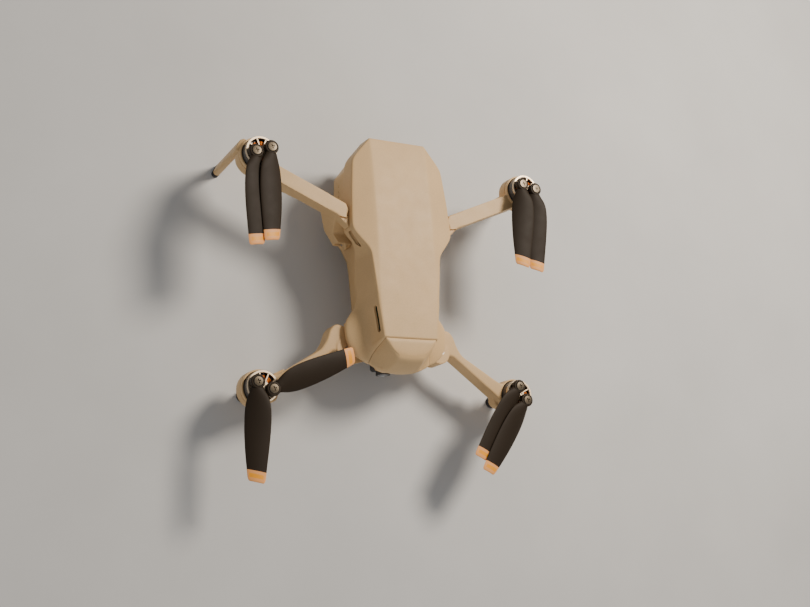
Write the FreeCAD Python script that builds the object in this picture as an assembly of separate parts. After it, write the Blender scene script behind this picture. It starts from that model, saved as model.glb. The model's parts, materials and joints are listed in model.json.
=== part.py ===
"""Folding palm-sized camera quadcopter, unfolded, as separate pieces.

Units are millimetres.  The ground is z = 0, +Z is up, the nose points to -Y, the tail to +Y
and the aircraft's own left side is +X.  While it is modelled, y = 0 is near the middle of the
body; save() then moves it so that the origin lies below the middle of the unfolded aircraft.
The aircraft is symmetric about x = 0, apart from the turned positions of its propellers and the
one-sided arm of its gimbal.
"""
import FreeCAD, Part
import math
import os

V = FreeCAD.Vector
X_AXIS, Y_AXIS, Z_AXIS = V(1, 0, 0), V(0, 1, 0), V(0, 0, 1)
SIDES = (("left", 1), ("right", -1))

# ---- driving dimensions: body ----
TAIL_Y = 81.0            # rear edge of the top shell
SEAM_Y = -39.0           # seam between top shell and nose cap
NOSE_Y = -57.0           # foremost point of the nose
TOP_Z = 51.0             # flat top panel
TAIL_DROP = 4.4          # the panel falls this much towards the tail
BEVEL_LONG = 13.7        # the tail corners begin this far before the rear edge
TAIL_HALF = 18.1         # half widths of the top shell outline
BEVEL_HALF = 29.2
WIDE_HALF = 32.4
WIDE_Y = 24.2            # widest place, at the notch
WAIST_HALF = 22.3
WAIST_Y = 12.1
SEAM_HALF = 17.3
NOSE_HALF = 13.5
CREASE_HALF = 18.4       # the two long creases of the top panel
FACET_SLOPE = 0.22       # fall of the facets outside the creases
SHELL_WALL = 1.4
SPLIT_RISE = 1.2         # the two shells part this far above the inner frame
BELLY_Z = 13.0           # underside of the belly plate
BELLY_WALL = 1.5
LOWER_INSET = 2.2        # the top shell overhangs the lower shell
SHOULDER_TOP_Z = 33.4    # shelf over the front arm's root
SHOULDER_THICK = 3.0
NOSE_FLOOR_Z = 29.5      # underside of the nose, over the gimbal
MIDDLE_Y = -18.8         # middle of the unfolded aircraft's length, propellers included
VENT_FRONT_Y = -36.0     # one long slit in each side, close under the top panel
VENT_LONG = 15.0
VENT_LOW_Z = 46.4
VENT_H = 1.8
FIT = 0.15               # clearance between pieces that lie against each other
RUN = 0.07               # radial running clearance of pins and shafts
GAP = 0.35               # clearance between moving bodies

# ---- driving dimensions: motors and propellers ----
FRONT_MOTOR = V(83.3, -66.4, 33.2)   # centre of the bell's top ring
REAR_MOTOR = V(88.0, 61.2, 51.2)
BELL_R = 9.0
BELL_WALL = 0.7
BELL_H = 8.0
MOUNT_WALL = 0.95        # light ring around the bell
MOUNT_TOP = -5.7         # from the bell's top ring
MOUNT_H = 10.5
STATOR_GAP = 0.7         # between the stator's poles and the bell's wall
SHAFT_R = 0.75
PIVOT_OFFSET = 4.8       # blade screw from the motor axis
MOUNT_LIP = 0.8          # floor of the mount below the bell
SPOKES = 9
POLES = 9
BLADE_LEN = 54.0         # screw to tip
BLADE_CHORD = 13.4
BLADE_BOSS_R = 4.0
BLADE_BOSS_LOW = 1.3     # above the bell's top ring
BLADE_BOSS_H = 3.2
SCREW_HEAD_R = 2.7
SCREW_R = 1.0

# ---- driving dimensions: arms ----
FRONT_HINGE = V(30.5, -42.5, 0)
FRONT_ROOT_R = 6.6
FRONT_ROOT_LOW = 20.1
FRONT_PIN_R = 1.3
LUG_THICK = 2.4          # lug under the front arm's root
REAR_AXIS_Z = 25.0
REAR_AXIS_ANGLE = -27.0  # of the fold axis in plan, degrees
REAR_HINGE = V(26.0, 23.2, REAR_AXIS_Z)
REAR_BARREL_R = 4.5
REAR_PIN_R = 1.4
REAR_BEAM_WIDE = 9.0
LEG = V(96.6, 66.6, 0)   # middle of the leg's foot
LEG_TOP = 43.0
LEG_WIDE = 8.0
LEG_THICK = 4.2
FOOT_H = 3.0
FRONT_FOOT_R = 3.6

# ---- driving dimensions: battery, door, gimbal ----
BATTERY_X, BATTERY_Y, BATTERY_Z = 41.0, 70.0, 17.0
BATTERY_TAIL_GAP = 5.0   # between the battery's rear end and the shell's rear edge
BATTERY_LOW_Z = 16.2
FAN_R = 8.5
FAN_Y = -4.0
FAN_BLADES = 11
GIMBAL_YAW_Y = -42.4
GIMBAL_Z = 14.5
TILT_Y = -46.9
CAMERA = 13.0
CAMERA_H = 10.0
DAMPER_H = 2.0           # soft mounts between the nose and the gimbal's plate
PLATE_THICK = 1.2

# ---- sizes that follow from the ones above ----
MOUNT_R = BELL_R + GAP + MOUNT_WALL
STATOR_R = BELL_R - BELL_WALL - STATOR_GAP
BATTERY_FRONT_Y = TAIL_Y - BATTERY_TAIL_GAP - BATTERY_Y
BATTERY_TOP_Z = BATTERY_LOW_Z + BATTERY_Z
GIMBAL_BACK_Y = GIMBAL_YAW_Y + 8.6 # front wall of the lower shell, behind the gimbal
FRAME_Z = BATTERY_TOP_Z + 0.4      # underside of the inner frame
FRAME_THICK = 1.2
BOARD_Z = FRAME_Z + FRAME_THICK + 1.6
SPLIT_Z = FRAME_Z + FRAME_THICK + SPLIT_RISE    # parting plane of the top shell and the lower shell
BEVEL_Y = TAIL_Y - BEVEL_LONG
BOARD_THICK = 1.0
FAR = 60.0                         # longer than any piece that it cuts


def prism(points, low, high):
    """An upright prism over a closed outline of (x, y) points."""
    wire = Part.makePolygon([V(x, y, low) for x, y in points] + [V(points[0][0], points[0][1], low)])
    return Part.Face(wire).extrude(V(0, 0, high - low))


def both_sides(half):
    """A closed outline from the +X half, listed from the tail to the nose."""
    return half + [(-x, y) for x, y in reversed(half)]


def bar_y(section, low, high):
    """A bar along Y over a closed outline of (x, z) points."""
    wire = Part.makePolygon([V(x, low, z) for x, z in section + section[:1]])
    return Part.Face(wire).extrude(V(0, high - low, 0))


def bar_x(section, low, high):
    """A bar along X over a closed outline of (y, z) points."""
    wire = Part.makePolygon([V(low, y, z) for y, z in section + section[:1]])
    return Part.Face(wire).extrude(V(high - low, 0, 0))


def block(x0, x1, y0, y1, z0, z1):
    return Part.makeBox(x1 - x0, y1 - y0, z1 - z0, V(x0, y0, z0))


def rod(r, start, direction, length):
    return Part.makeCylinder(r, length, start, direction)


def fuse(shapes):
    return shapes[0].multiFuse(shapes[1:]).removeSplitter() if len(shapes) > 1 else shapes[0]


def mirrored(shape):
    return shape.mirror(V(0, 0, 0), X_AXIS)


def on_side(shape, sign):
    return shape if sign > 0 else mirrored(shape)


def rounded(shape, radius, wanted):
    """The shape with the edges that wanted() picks rounded."""
    return shape.makeFillet(radius, [e for e in shape.Edges if wanted(e)])


def save(name, shape):
    """Writes one node, moved to the row's origin; a group of separate solids stays separate."""
    if len(shape.Solids) == 1:
        shape = shape.Solids[0]
    shape = shape.translated(V(0, -MIDDLE_Y, 0))
    shape.exportStep("parts/" + name + ".step")


# ---- body shells ----
def top_outline(inset):
    return both_sides([
        (TAIL_HALF - inset * 0.8, TAIL_Y - inset),
        (BEVEL_HALF - inset, BEVEL_Y - inset * 0.4),
        (WIDE_HALF - inset, WIDE_Y + inset * 0.3),
        (WAIST_HALF - inset, WAIST_Y + inset * 0.3),
        (SEAM_HALF - inset, SEAM_Y),
    ])


def roof(lift, front, back):
    """The space under the creased top surface, lowered by lift."""
    far = 40.0
    top = TOP_Z - lift
    creased = bar_y([
        (-far, 0), (-far, top - FACET_SLOPE * (far - CREASE_HALF)), (-CREASE_HALF, top),
        (CREASE_HALF, top), (far, top - FACET_SLOPE * (far - CREASE_HALF)), (far, 0),
    ], front, back)
    steps = 6
    start = WAIST_Y
    curve = []
    for i in range(steps + 1):
        part = i / steps
        curve.append((start + (TAIL_Y - start) * part, top - TAIL_DROP * part * part))
    falling = bar_x([(front, 0), (front, top)] + curve + [(back, top - TAIL_DROP), (back, 0)], -far, far)
    return creased.common(falling)


def make_top_shell():
    outer = prism(top_outline(0), SPLIT_Z, TOP_Z).common(roof(0, SEAM_Y, TAIL_Y))
    inner = prism(top_outline(SHELL_WALL), SPLIT_Z - 1, TOP_Z)
    inner = inner.common(roof(SHELL_WALL, SEAM_Y - 1, TAIL_Y))
    shell = outer.cut(inner)
    slit = block(SEAM_HALF - 4, FAR, VENT_FRONT_Y, VENT_FRONT_Y + VENT_LONG, VENT_LOW_Z, VENT_LOW_Z + VENT_H)
    for _, sign in SIDES:
        shell = shell.cut(on_side(slit, sign))
    return shell


def nose_section(inset, floor):
    """The nose in side view."""
    front = NOSE_Y + inset
    top = TOP_Z - inset
    round_r = 8.0
    points = [(SEAM_Y, floor), (SEAM_Y, top)]
    steps = 5
    for i in range(steps + 1):
        a = math.radians(90 + 70 * i / steps)
        points.append((front + round_r + round_r * math.cos(a), top - round_r + round_r * math.sin(a)))
    points.append((front + 1.5, floor))
    return points


def nose_outline(inset):
    return both_sides([
        (SEAM_HALF - inset, SEAM_Y),
        (SEAM_HALF - 0.8 - inset, SEAM_Y - 9),
        (NOSE_HALF - inset * 0.5, NOSE_Y + 1.8 + inset),
        (NOSE_HALF - 4.5, NOSE_Y + inset),
    ])


def make_nose_cap():
    outer = prism(nose_outline(0), SPLIT_Z, TOP_Z).common(bar_x(nose_section(0, SPLIT_Z), -40, 40))
    inner = prism(nose_outline(SHELL_WALL), SPLIT_Z - 1, TOP_Z)
    inner = inner.common(bar_x(nose_section(SHELL_WALL, SPLIT_Z - 1), -40, 40))
    cap = outer.cut(inner)
    return cap.cut(block(-40, 40, SEAM_Y - FIT, SEAM_Y + 1, 0, 60))


def joint_line(y, offset):
    """x of the rear joint plane at y, moved outwards by offset."""
    a = math.radians(REAR_AXIS_ANGLE)
    across = V(math.cos(a), math.sin(a), 0)
    return REAR_HINGE.x + (offset - across.y * (y - REAR_HINGE.y)) / across.x


def lower_outline(inset):
    tail = TAIL_Y - 2.0
    side = BEVEL_HALF - LOWER_INSET
    meet_y = 30.0
    waist = WAIST_HALF - 1.6
    return both_sides([
        (TAIL_HALF - 1.5 - inset * 0.8, tail - inset),
        (side - inset, BEVEL_Y - 2 - inset * 0.4),
        (min(side + 1.8, joint_line(meet_y, -GAP)) - inset, meet_y),
        (joint_line(14.0, -GAP) - inset, 14.0),
        (waist - inset - 0.5, 8.0),
        (waist - 1.8 - inset, -18.0),
        (SEAM_HALF - 1.6 - inset, -36.0),
        (SEAM_HALF - 0.8 - inset, SEAM_Y - 9),
        (NOSE_HALF - inset * 0.5, NOSE_Y + 2.6 + inset),
        (NOSE_HALF - 4.5, NOSE_Y + 1.2 + inset),
    ])


def shoulder(sign):
    """The shelf over a front arm's root, and the lug under it."""
    x, y = FRONT_HINGE.x, FRONT_HINGE.y
    outline = [
        (SEAM_HALF - 3.3, y + 26.5), (SEAM_HALF + 2.9, y + 28.0), (x - 4.0, y + 19.5), (x + 2.1, y + 13.9),
        (x + 1.6, y + 5.7), (x + 0.1, y + 0.9), (x - 3.7, y - 4.3), (x - 11.3, y - 8.5), (x - 18.5, y - 9.5),
    ]
    shelf = prism(outline, SHOULDER_TOP_Z - SHOULDER_THICK, SHOULDER_TOP_Z)
    lug_z = FRONT_ROOT_LOW - GAP
    lug = rod(FRONT_ROOT_R, V(x, y, lug_z - LUG_THICK), Z_AXIS, LUG_THICK)
    root = SEAM_HALF - 3.3
    arm = prism([(root, GIMBAL_BACK_Y + 3.0), (x - 4.5, y + 7.0), (x - 4.5, y - 7.5), (x - 15.0, y - 5.0),
                 (root, y + 4.0)], lug_z - LUG_THICK, lug_z)
    bore = rod(FRONT_PIN_R, V(x, y, 0), Z_AXIS, SHOULDER_TOP_Z - 1)
    return [on_side(s.cut(bore), sign) for s in (shelf, fuse([lug, arm]))]


def make_lower_shell():
    low = BELLY_Z + BELLY_WALL
    top = SPLIT_Z - FIT
    outer = prism(lower_outline(0), low, top)
    nose_space = block(-FAR, FAR, NOSE_Y - 5, GIMBAL_BACK_Y, 0, NOSE_FLOOR_Z)
    outer = outer.cut(nose_space)
    inner = prism(lower_outline(SHELL_WALL), low - 1, top + 1)
    inner = inner.cut(block(-FAR, FAR, NOSE_Y - 5, GIMBAL_BACK_Y + SHELL_WALL, 0, NOSE_FLOOR_Z + SHELL_WALL))
    shell = outer.cut(inner)
    pieces = [shell]
    for _, sign in SIDES:
        pieces += shoulder(sign)
        boss = rear_boss()
        pieces.append(on_side(boss, sign))
    body = fuse(pieces)
    for _, sign in SIDES:
        well = rod(FRONT_ROOT_R + GAP, V(FRONT_HINGE.x, FRONT_HINGE.y, FRONT_ROOT_LOW - GAP), Z_AXIS,
                   SHOULDER_TOP_Z - SHOULDER_THICK - FRONT_ROOT_LOW + GAP)
        body = body.cut(on_side(well, sign))
        body = body.cut(on_side(rear_pin_hole(), sign))
    door_hole = block(-17.0, 17.0, TAIL_Y - 5, TAIL_Y + 5, low + 1.2, top - 1.5)
    return body.cut(door_hole)


def rear_direction():
    a = math.radians(REAR_AXIS_ANGLE)
    return V(math.cos(a), math.sin(a), 0)


def along_rear(t):
    """A point t millimetres along the rear fold axis from the joint plane."""
    return REAR_HINGE + rear_direction() * t


def rear_boss():
    return rod(REAR_BARREL_R, along_rear(-6.0), rear_direction(), 6.0 - GAP / 2)


def rear_pin_hole():
    return rod(REAR_PIN_R, along_rear(-5.0), rear_direction(), 30)


def make_belly_plate():
    low, top = BELLY_Z, BELLY_Z + BELLY_WALL
    half = [(x, y) for x, y in lower_outline(0.4)[:6]]
    outline = both_sides(half + [(SEAM_HALF - 0.8, GIMBAL_BACK_Y)])
    plate = prism(outline, low, top)
    for x in (-7.0, 7.0):
        plate = plate.cut(rod(2.7 + FIT, V(x, -22.0, 0), Z_AXIS, 40))
    plate = plate.cut(block(-4.6, 4.6, -12.2, -7.8, 0, 40))
    plate = plate.cut(rod(5.0 + FIT, V(0, 58.0, 0), Z_AXIS, 40))
    for x in (-9.0, -3.0, 3.0, 9.0):
        plate = plate.cut(rod(0.8, V(x, 48.0, 0), Z_AXIS, 40))
    for x, y in screw_places():
        plate = plate.cut(rod(1.3, V(x, y, 0), Z_AXIS, 40))
    return plate


def screw_places():
    places = ((TAIL_HALF - 5.1, TAIL_Y - 7.0), (WAIST_HALF - 0.3, WIDE_Y + 9.8),
              (SEAM_HALF - 4.8, SEAM_Y + 9.0))
    return [(sign * x, y) for _, sign in SIDES for x, y in places]


def make_shell_screws():
    screws = []
    for x, y in screw_places():
        head = rod(2.2, V(x, y, BELLY_Z + BELLY_WALL), Z_AXIS, 1.0)
        shank = rod(1.3, V(x, y, BELLY_Z + 0.2), Z_AXIS, BELLY_WALL - 0.2)
        screws.append(fuse([head, shank]))
    return Part.makeCompound(screws)


# ---- inside the body ----
def make_inner_frame():
    plate = prism(lower_outline(SHELL_WALL + FIT), FRAME_Z, FRAME_Z + FRAME_THICK)
    plate = plate.common(block(-FAR, FAR, SEAM_Y + 5.0, TAIL_Y - 15.0, 0, FAR))
    return plate.cut(block(-9, 9, 20, 50, 0, FAR))


def make_main_board():
    half = SEAM_HALF - 1.8
    board = block(-half, half, SEAM_Y + 6.0, 40.0, BOARD_Z, BOARD_Z + BOARD_THICK)
    chip_z = BOARD_Z + BOARD_THICK
    chips = [block(x, x + w, y, y + w, chip_z, chip_z + 1.2) for x, y, w in
             ((-13, 4, 9), (3, 6, 7), (-10, 20, 8), (2, 22, 11))]
    return fuse([board] + chips)


def make_heat_sink():
    half = SEAM_HALF - 3.8
    front, back = SEAM_Y + 7.0, SEAM_Y + 26.0
    low = BOARD_Z + BOARD_THICK + 0.2
    fin_low, fin_top = low + 1.0, TOP_Z - SHELL_WALL - 6.0
    fins = [block(-half, half, front + 3.0 * i, front + 3.0 * i + 0.8, fin_low, fin_top) for i in range(7)]
    return fuse([block(-half, half, front, back, low, fin_low)] + fins)


def make_fan_rotor():
    z = BOARD_Z + BOARD_THICK + 1.0
    hub = rod(FAN_R - 4.5, V(0, FAN_Y, z), Z_AXIS, 4.5)
    blades = []
    for i in range(FAN_BLADES):
        blade = block(FAN_R - 5.0, FAN_R, FAN_Y - 0.3, FAN_Y + 0.3, z, z + 4.0)
        blade.rotate(V(0, FAN_Y, 0), Z_AXIS, 360.0 * i / FAN_BLADES)
        blades.append(blade)
    return fuse([hub] + blades)


def make_gps_antenna():
    z = BOARD_Z + BOARD_THICK + 1.0
    return block(-9, 9, TAIL_Y - 35.0, TAIL_Y - 17.0, z, z + 4.0)


def make_battery():
    y0 = BATTERY_FRONT_Y
    half = BATTERY_X / 2
    narrow = 15.8
    tail = y0 + BATTERY_Y
    outline = [(narrow, tail), (half, tail - 11), (half, y0 + 24), (narrow + 1, y0 + 10), (narrow, y0)]
    pack = prism(both_sides(outline), BATTERY_LOW_Z, BATTERY_TOP_Z)
    return rounded(pack, 1.5, lambda e: abs(e.CenterOfMass.z - BATTERY_TOP_Z) < 0.01)


def make_battery_contacts():
    z = BATTERY_LOW_Z + 5
    return block(-8, 8, BATTERY_FRONT_Y - 6, BATTERY_FRONT_Y - FIT, z, z + 6)


def make_battery_door():
    z0, z1 = BELLY_Z + BELLY_WALL + 1.2 + FIT * 2, SPLIT_Z - 1.5 - FIT * 3
    y0 = TAIL_Y - 4.2
    door = block(-16.6, 16.6, y0, y0 + 2.2, z0 + 2.6, z1)
    door = rounded(door, 1.6, lambda e: abs(abs(e.CenterOfMass.x) - 16.6) < 0.01
                   and abs(e.CenterOfMass.y - y0 - 2.2) < 0.01)
    knuckles = []
    for x in (-14.0, 6.0):
        knuckle = rod(1.5, V(x, y0 + 0.9, z0 + 1.6), X_AXIS, 8)
        knuckles += [knuckle, block(x, x + 8, y0, y0 + 1.8, z0 + 1.6, z0 + 3)]
    door = fuse([door] + knuckles)
    return door.cut(rod(0.6 + RUN, V(-20, y0 + 0.9, z0 + 1.6), X_AXIS, 40))


def make_battery_door_pin():
    z0 = BELLY_Z + BELLY_WALL + 1.2 + FIT * 2
    return rod(0.6, V(-17.0, TAIL_Y - 3.3, z0 + 1.6), X_AXIS, 34)


def make_usb_port():
    return block(-13.0, -4.5, TAIL_Y - 11.0, TAIL_Y - 5.0, BATTERY_TOP_Z + 1.0, BATTERY_TOP_Z + 2.5)


def make_memory_card_slot():
    return block(2.0, 14.0, TAIL_Y - 12.0, TAIL_Y - 5.0, BATTERY_TOP_Z + 1.2, BATTERY_TOP_Z + 2.4)


def make_vision_lenses():
    lenses = []
    for x in (-7.0, 7.0):
        ball = Part.makeSphere(6.0, V(x, -22.0, BELLY_Z + 5.6))
        lens = rod(2.7, V(x, -22.0, BELLY_Z), Z_AXIS, 4.0).common(ball)
        lenses.append(lens)
    return Part.makeCompound(lenses)


def make_infrared_window():
    return block(-4.6 + FIT, 4.6 - FIT, -12.2 + FIT, -7.8 - FIT, BELLY_Z + 0.3, BELLY_Z + 2.5)


def make_power_button():
    cap = rod(5.0 - FIT, V(0, 58.0, BELLY_Z - 0.2), Z_AXIS, BELLY_WALL + 0.2)
    return cap.cut(rod(3.0, V(0, 58.0, BELLY_Z - 0.2), Z_AXIS, 0.4))


def make_power_lights():
    return Part.makeCompound([rod(0.8, V(x, 48.0, BELLY_Z), Z_AXIS, BELLY_WALL)
                              for x in (-9.0, -3.0, 3.0, 9.0)])


# ---- gimbal and camera ----
def make_gimbal_plate():
    low = NOSE_FLOOR_Z - DAMPER_H - PLATE_THICK
    plate = block(-13, 13, NOSE_Y + 5.5, GIMBAL_BACK_Y - 1.4, low, low + PLATE_THICK)
    return rounded(plate, 3.0, lambda e: abs(e.tangentAt(e.FirstParameter).z) > 0.9)


def make_gimbal_dampers():
    dampers = []
    for x in (-10.0, 10.0):
        for y in (NOSE_Y + 8.7, GIMBAL_BACK_Y - 4.6):
            low = NOSE_FLOOR_Z - DAMPER_H
            ball = rod(1.4, V(x, y, low), Z_AXIS, DAMPER_H).fuse(rod(2.0, V(x, y, low + 0.6), Z_AXIS, 0.8))
            dampers.append(ball.removeSplitter())
    return Part.makeCompound(dampers)


def make_gimbal_yaw_arm():
    top = NOSE_FLOOR_Z - DAMPER_H - PLATE_THICK - 0.2
    back = GIMBAL_YAW_Y + 6.8
    motor = rod(5.4, V(0, GIMBAL_YAW_Y, top - 3.2), Z_AXIS, 3.2)
    arm = block(-3.5, 3.5, GIMBAL_YAW_Y, back, top - 3.2, top - 1.2)
    drop = block(-3.5, 3.5, back - 1.6, back, GIMBAL_Z - 3, top - 1.2)
    roll_motor = rod(4.6, V(0, back - 2.8, GIMBAL_Z), Y_AXIS, 2.8)
    return fuse([motor, arm, drop, roll_motor])


def make_gimbal_roll_arm():
    y0 = GIMBAL_YAW_Y + 2.4
    back = block(-2.5, CAMERA / 2 + 3.9, y0, y0 + 1.3, GIMBAL_Z - 3.0, GIMBAL_Z + 3.0)
    side = block(CAMERA / 2 + 2.3, CAMERA / 2 + 3.9, TILT_Y - 2.0, y0 + 1.3, GIMBAL_Z - 3.0, GIMBAL_Z + 3.0)
    tilt_motor = rod(3.6, V(CAMERA / 2 + 0.5, TILT_Y, GIMBAL_Z), X_AXIS, 3.4)
    return fuse([back, side, tilt_motor])


def make_camera_body():
    half = CAMERA / 2
    body = block(-half, half, TILT_Y - 5.0, TILT_Y + 4.6, GIMBAL_Z - CAMERA_H / 2, GIMBAL_Z + CAMERA_H / 2)
    body = rounded(body, 1.8, lambda e: abs(e.tangentAt(e.FirstParameter).y) < 0.1)
    barrel = rod(4.3, V(-0.6, TILT_Y - 7.4, GIMBAL_Z), Y_AXIS, 4.0)
    body = fuse([body, barrel])
    return body.cut(rod(3.3, V(-0.6, TILT_Y - 8.0, GIMBAL_Z), Y_AXIS, 2.0))


def make_camera_lens():
    lens = rod(3.3, V(-0.6, TILT_Y - 7.1, GIMBAL_Z), Y_AXIS, 1.1)
    return lens


# ---- arms ----
def hull_bar(start, end, width, low0, high0, low1, high1):
    """A straight tapering arm between two points in plan."""
    along = V(end.x - start.x, end.y - start.y, 0).normalize()
    side = V(-along.y, along.x, 0) * (width / 2)
    wires = []
    for at, low, high in ((start, low0, high0), (end, low1, high1)):
        base = V(at.x, at.y, 0)
        corners = [base + side + V(0, 0, low), base - side + V(0, 0, low),
                   base - side + V(0, 0, high), base + side + V(0, 0, high)]
        wires.append(Part.makePolygon(corners + corners[:1]))
    return Part.makeLoft(wires, True, True)


def mount(top):
    """The round motor mount, and the cavity that the bell turns in."""
    low = top.z + MOUNT_TOP - MOUNT_H
    ring = rod(MOUNT_R, V(top.x, top.y, low), Z_AXIS, MOUNT_H)
    ring = rounded(ring, 1.2, lambda e: abs(e.CenterOfMass.z - low) < 0.01 and e.Length > 20)
    return ring, rod(BELL_R + GAP, V(top.x, top.y, top.z - BELL_H - MOUNT_LIP), Z_AXIS, FAR)


def make_front_arm():
    ring, cavity = mount(FRONT_MOTOR)
    z_low, z_top = FRONT_ROOT_LOW, SHOULDER_TOP_Z - SHOULDER_THICK - GAP
    x, y = FRONT_HINGE.x, FRONT_HINGE.y
    root = rod(FRONT_ROOT_R, V(x, y, z_low), Z_AXIS, z_top - z_low)
    elbow = V(x + 12.0, y + 2.7, 0)
    link = prism([(x - 1, y + 6.4), (x + 9.0, y + 10.5), (x + 14.0, y + 7.9), (x + 16.0, y + 2.0),
                  (x + 9.5, y - 2.5), (x + 3.0, y - 5.6)], z_low, z_top)
    end = V(FRONT_MOTOR.x - 6.5, FRONT_MOTOR.y + 4.0, 0)
    rim = FRONT_MOTOR.z + MOUNT_TOP
    low = rim - MOUNT_H
    beam = hull_bar(elbow, end, 9.6, z_low - 1.8, z_top, low - 1.4, rim - 0.3)
    foot_top = low + 2.0
    foot = Part.makeCone(FRONT_FOOT_R, FRONT_FOOT_R + 2.2, foot_top - FOOT_H,
                         V(FRONT_MOTOR.x, FRONT_MOTOR.y, FOOT_H), Z_AXIS)
    arm = fuse([root, link, beam, ring, foot]).cut(cavity)
    return arm.cut(rod(FRONT_PIN_R + RUN, V(FRONT_HINGE.x, FRONT_HINGE.y, 0), Z_AXIS, 60))


def make_front_pin():
    low = FRONT_ROOT_LOW - GAP - LUG_THICK
    return rod(FRONT_PIN_R, V(FRONT_HINGE.x, FRONT_HINGE.y, low), Z_AXIS, SHOULDER_TOP_Z - 1 - low)


def make_front_foot():
    return rod(FRONT_FOOT_R, V(FRONT_MOTOR.x, FRONT_MOTOR.y, 0), Z_AXIS, FOOT_H)


def leg_bar(low, high):
    angle = math.degrees(math.atan2(31.0, 58.0))
    bar = block(-LEG_THICK / 2, LEG_THICK / 2, -LEG_WIDE / 2, LEG_WIDE / 2, low, high)
    bar = rounded(bar, 1.8, lambda e: abs(e.tangentAt(e.FirstParameter).z) > 0.9)
    bar.rotate(V(0, 0, 0), Z_AXIS, angle)
    bar.translate(V(LEG.x, LEG.y, 0))
    return bar


def make_rear_arm():
    ring, cavity = mount(REAR_MOTOR)
    across = rear_direction()
    barrel = rod(REAR_BARREL_R, along_rear(GAP / 2), across, 4.0)
    x, y, z = REAR_HINGE.x, REAR_HINGE.y, REAR_HINGE.z
    rim = REAR_MOTOR.z + MOUNT_TOP
    start = V(x + 7.4, y + 11.0, 0)
    end = V(REAR_MOTOR.x - 5.0, REAR_MOTOR.y - 5.6, 0)
    middle = start * 0.5 + end * 0.5
    low, high = z + 11.0, z + 19.5
    beam = fuse([hull_bar(start, middle, REAR_BEAM_WIDE, low, high, low, high),
                 hull_bar(middle, end, REAR_BEAM_WIDE, low, high, rim - 12.5, rim - 0.9)])
    near, far = y - 3.2, y + 14.8
    web = prism([(joint_line(near, GAP / 2), near), (joint_line(far, GAP / 2), far), (x + 18.0, far),
                 (x + 7.5, y - 2.7)], z - 3, z + 17.0)
    slope = bar_x([(y - 8.2, z - 7), (y - 8.2, z + 4.4), (y + 2.8, z + 4.4), (y + 9.8, z + 19),
                   (y + 16.8, z + 19), (y + 16.8, z + 6), (y + 4.8, z - 4.4), (y + 2.8, z - 7)], 0, FAR)
    web = web.common(slope)
    outboard = hull_bar(REAR_MOTOR, V(LEG.x + 1.0, LEG.y + 0.6, 0), REAR_BEAM_WIDE, rim - 10.5, rim - 0.1,
                        LEG_TOP - 7.0, LEG_TOP + 0.4)
    arm = fuse([barrel, web, beam, ring, outboard, leg_bar(FOOT_H, LEG_TOP)])
    keep_off = prism(top_outline(-GAP), SPLIT_Z - GAP, 60)
    arm = arm.cut(cavity).cut(keep_off)
    behind = block(-80, GAP / 2, -90, 90, -10, 80)
    behind.rotate(V(0, 0, 0), Z_AXIS, REAR_AXIS_ANGLE)
    behind.translate(V(REAR_HINGE.x, REAR_HINGE.y, 0))
    arm = arm.cut(behind)
    for angle in range(160, 181, 5):
        arm = arm.cut(folded_body(angle))
    arm = arm.cut(rod(REAR_PIN_R + RUN, along_rear(-1), across, 20))
    return max(arm.Solids, key=lambda solid: solid.Volume)


def folded_body(angle):
    """The belly's space, as a rear arm that is folded by angle meets it."""
    space = prism(lower_outline(-GAP), BELLY_Z - GAP, SPLIT_Z)
    space.rotate(REAR_HINGE, rear_direction(), angle)
    return space


def make_rear_pin():
    return rod(REAR_PIN_R, along_rear(-5.0), rear_direction(), 5.0 + 3.9)


def make_rear_foot():
    return leg_bar(0, FOOT_H)


# ---- motors and propellers ----
def make_stator(top):
    low = top.z - BELL_H - MOUNT_LIP
    core = rod(3.2, V(top.x, top.y, low), Z_AXIS, 7.0)
    teeth = []
    for i in range(POLES):
        tooth = block(2.5, STATOR_R - 1.2, -0.9, 0.9, top.z - 6.6, top.z - 3.2)
        tip = block(STATOR_R - 1.6, STATOR_R, -2.0, 2.0, top.z - 6.6, top.z - 3.2)
        pole = tooth.fuse(tip)
        pole.rotate(V(0, 0, 0), Z_AXIS, 360.0 * i / POLES)
        pole.translate(V(top.x, top.y, 0))
        teeth.append(pole)
    stator = fuse([core] + teeth)
    return stator.cut(rod(SHAFT_R + RUN, V(top.x, top.y, 0), Z_AXIS, 100))


def make_bell(top, turn):
    """Rotor bell with its spokes, shaft and the bar that carries the two blades."""
    wall = rod(BELL_R, V(0, 0, -BELL_H), Z_AXIS, BELL_H)
    wall = wall.cut(rod(BELL_R - BELL_WALL, V(0, 0, -BELL_H), Z_AXIS, BELL_H - 0.9))
    wall = wall.cut(rod(BELL_R - 1.5, V(0, 0, -2), Z_AXIS, 5))
    spokes = []
    for i in range(SPOKES):
        spoke = block(2.5, BELL_R - 1.0, -0.5, 0.5, -0.9, 0)
        spoke.rotate(V(0, 0, 0), Z_AXIS, 360.0 * i / SPOKES + 8)
        spokes.append(spoke)
    hub = rod(3.3, V(0, 0, -1.4), Z_AXIS, 2.4)
    bar = block(-PIVOT_OFFSET, PIVOT_OFFSET, -2.2, 2.2, -0.4, BLADE_BOSS_LOW - 0.1)
    pads = [rod(2.8, V(x, 0, -0.4), Z_AXIS, BLADE_BOSS_LOW + 0.3) for x in (-PIVOT_OFFSET, PIVOT_OFFSET)]
    shaft = rod(SHAFT_R, V(0, 0, -BELL_H), Z_AXIS, BELL_H)
    bell = fuse([wall, hub, bar, shaft] + pads + spokes)
    for x in (-PIVOT_OFFSET, PIVOT_OFFSET):
        bell = bell.cut(rod(SCREW_R, V(x, 0, -1), Z_AXIS, 5))
    bell.rotate(V(0, 0, 0), Z_AXIS, turn)
    bell.translate(top)
    return bell


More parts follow.
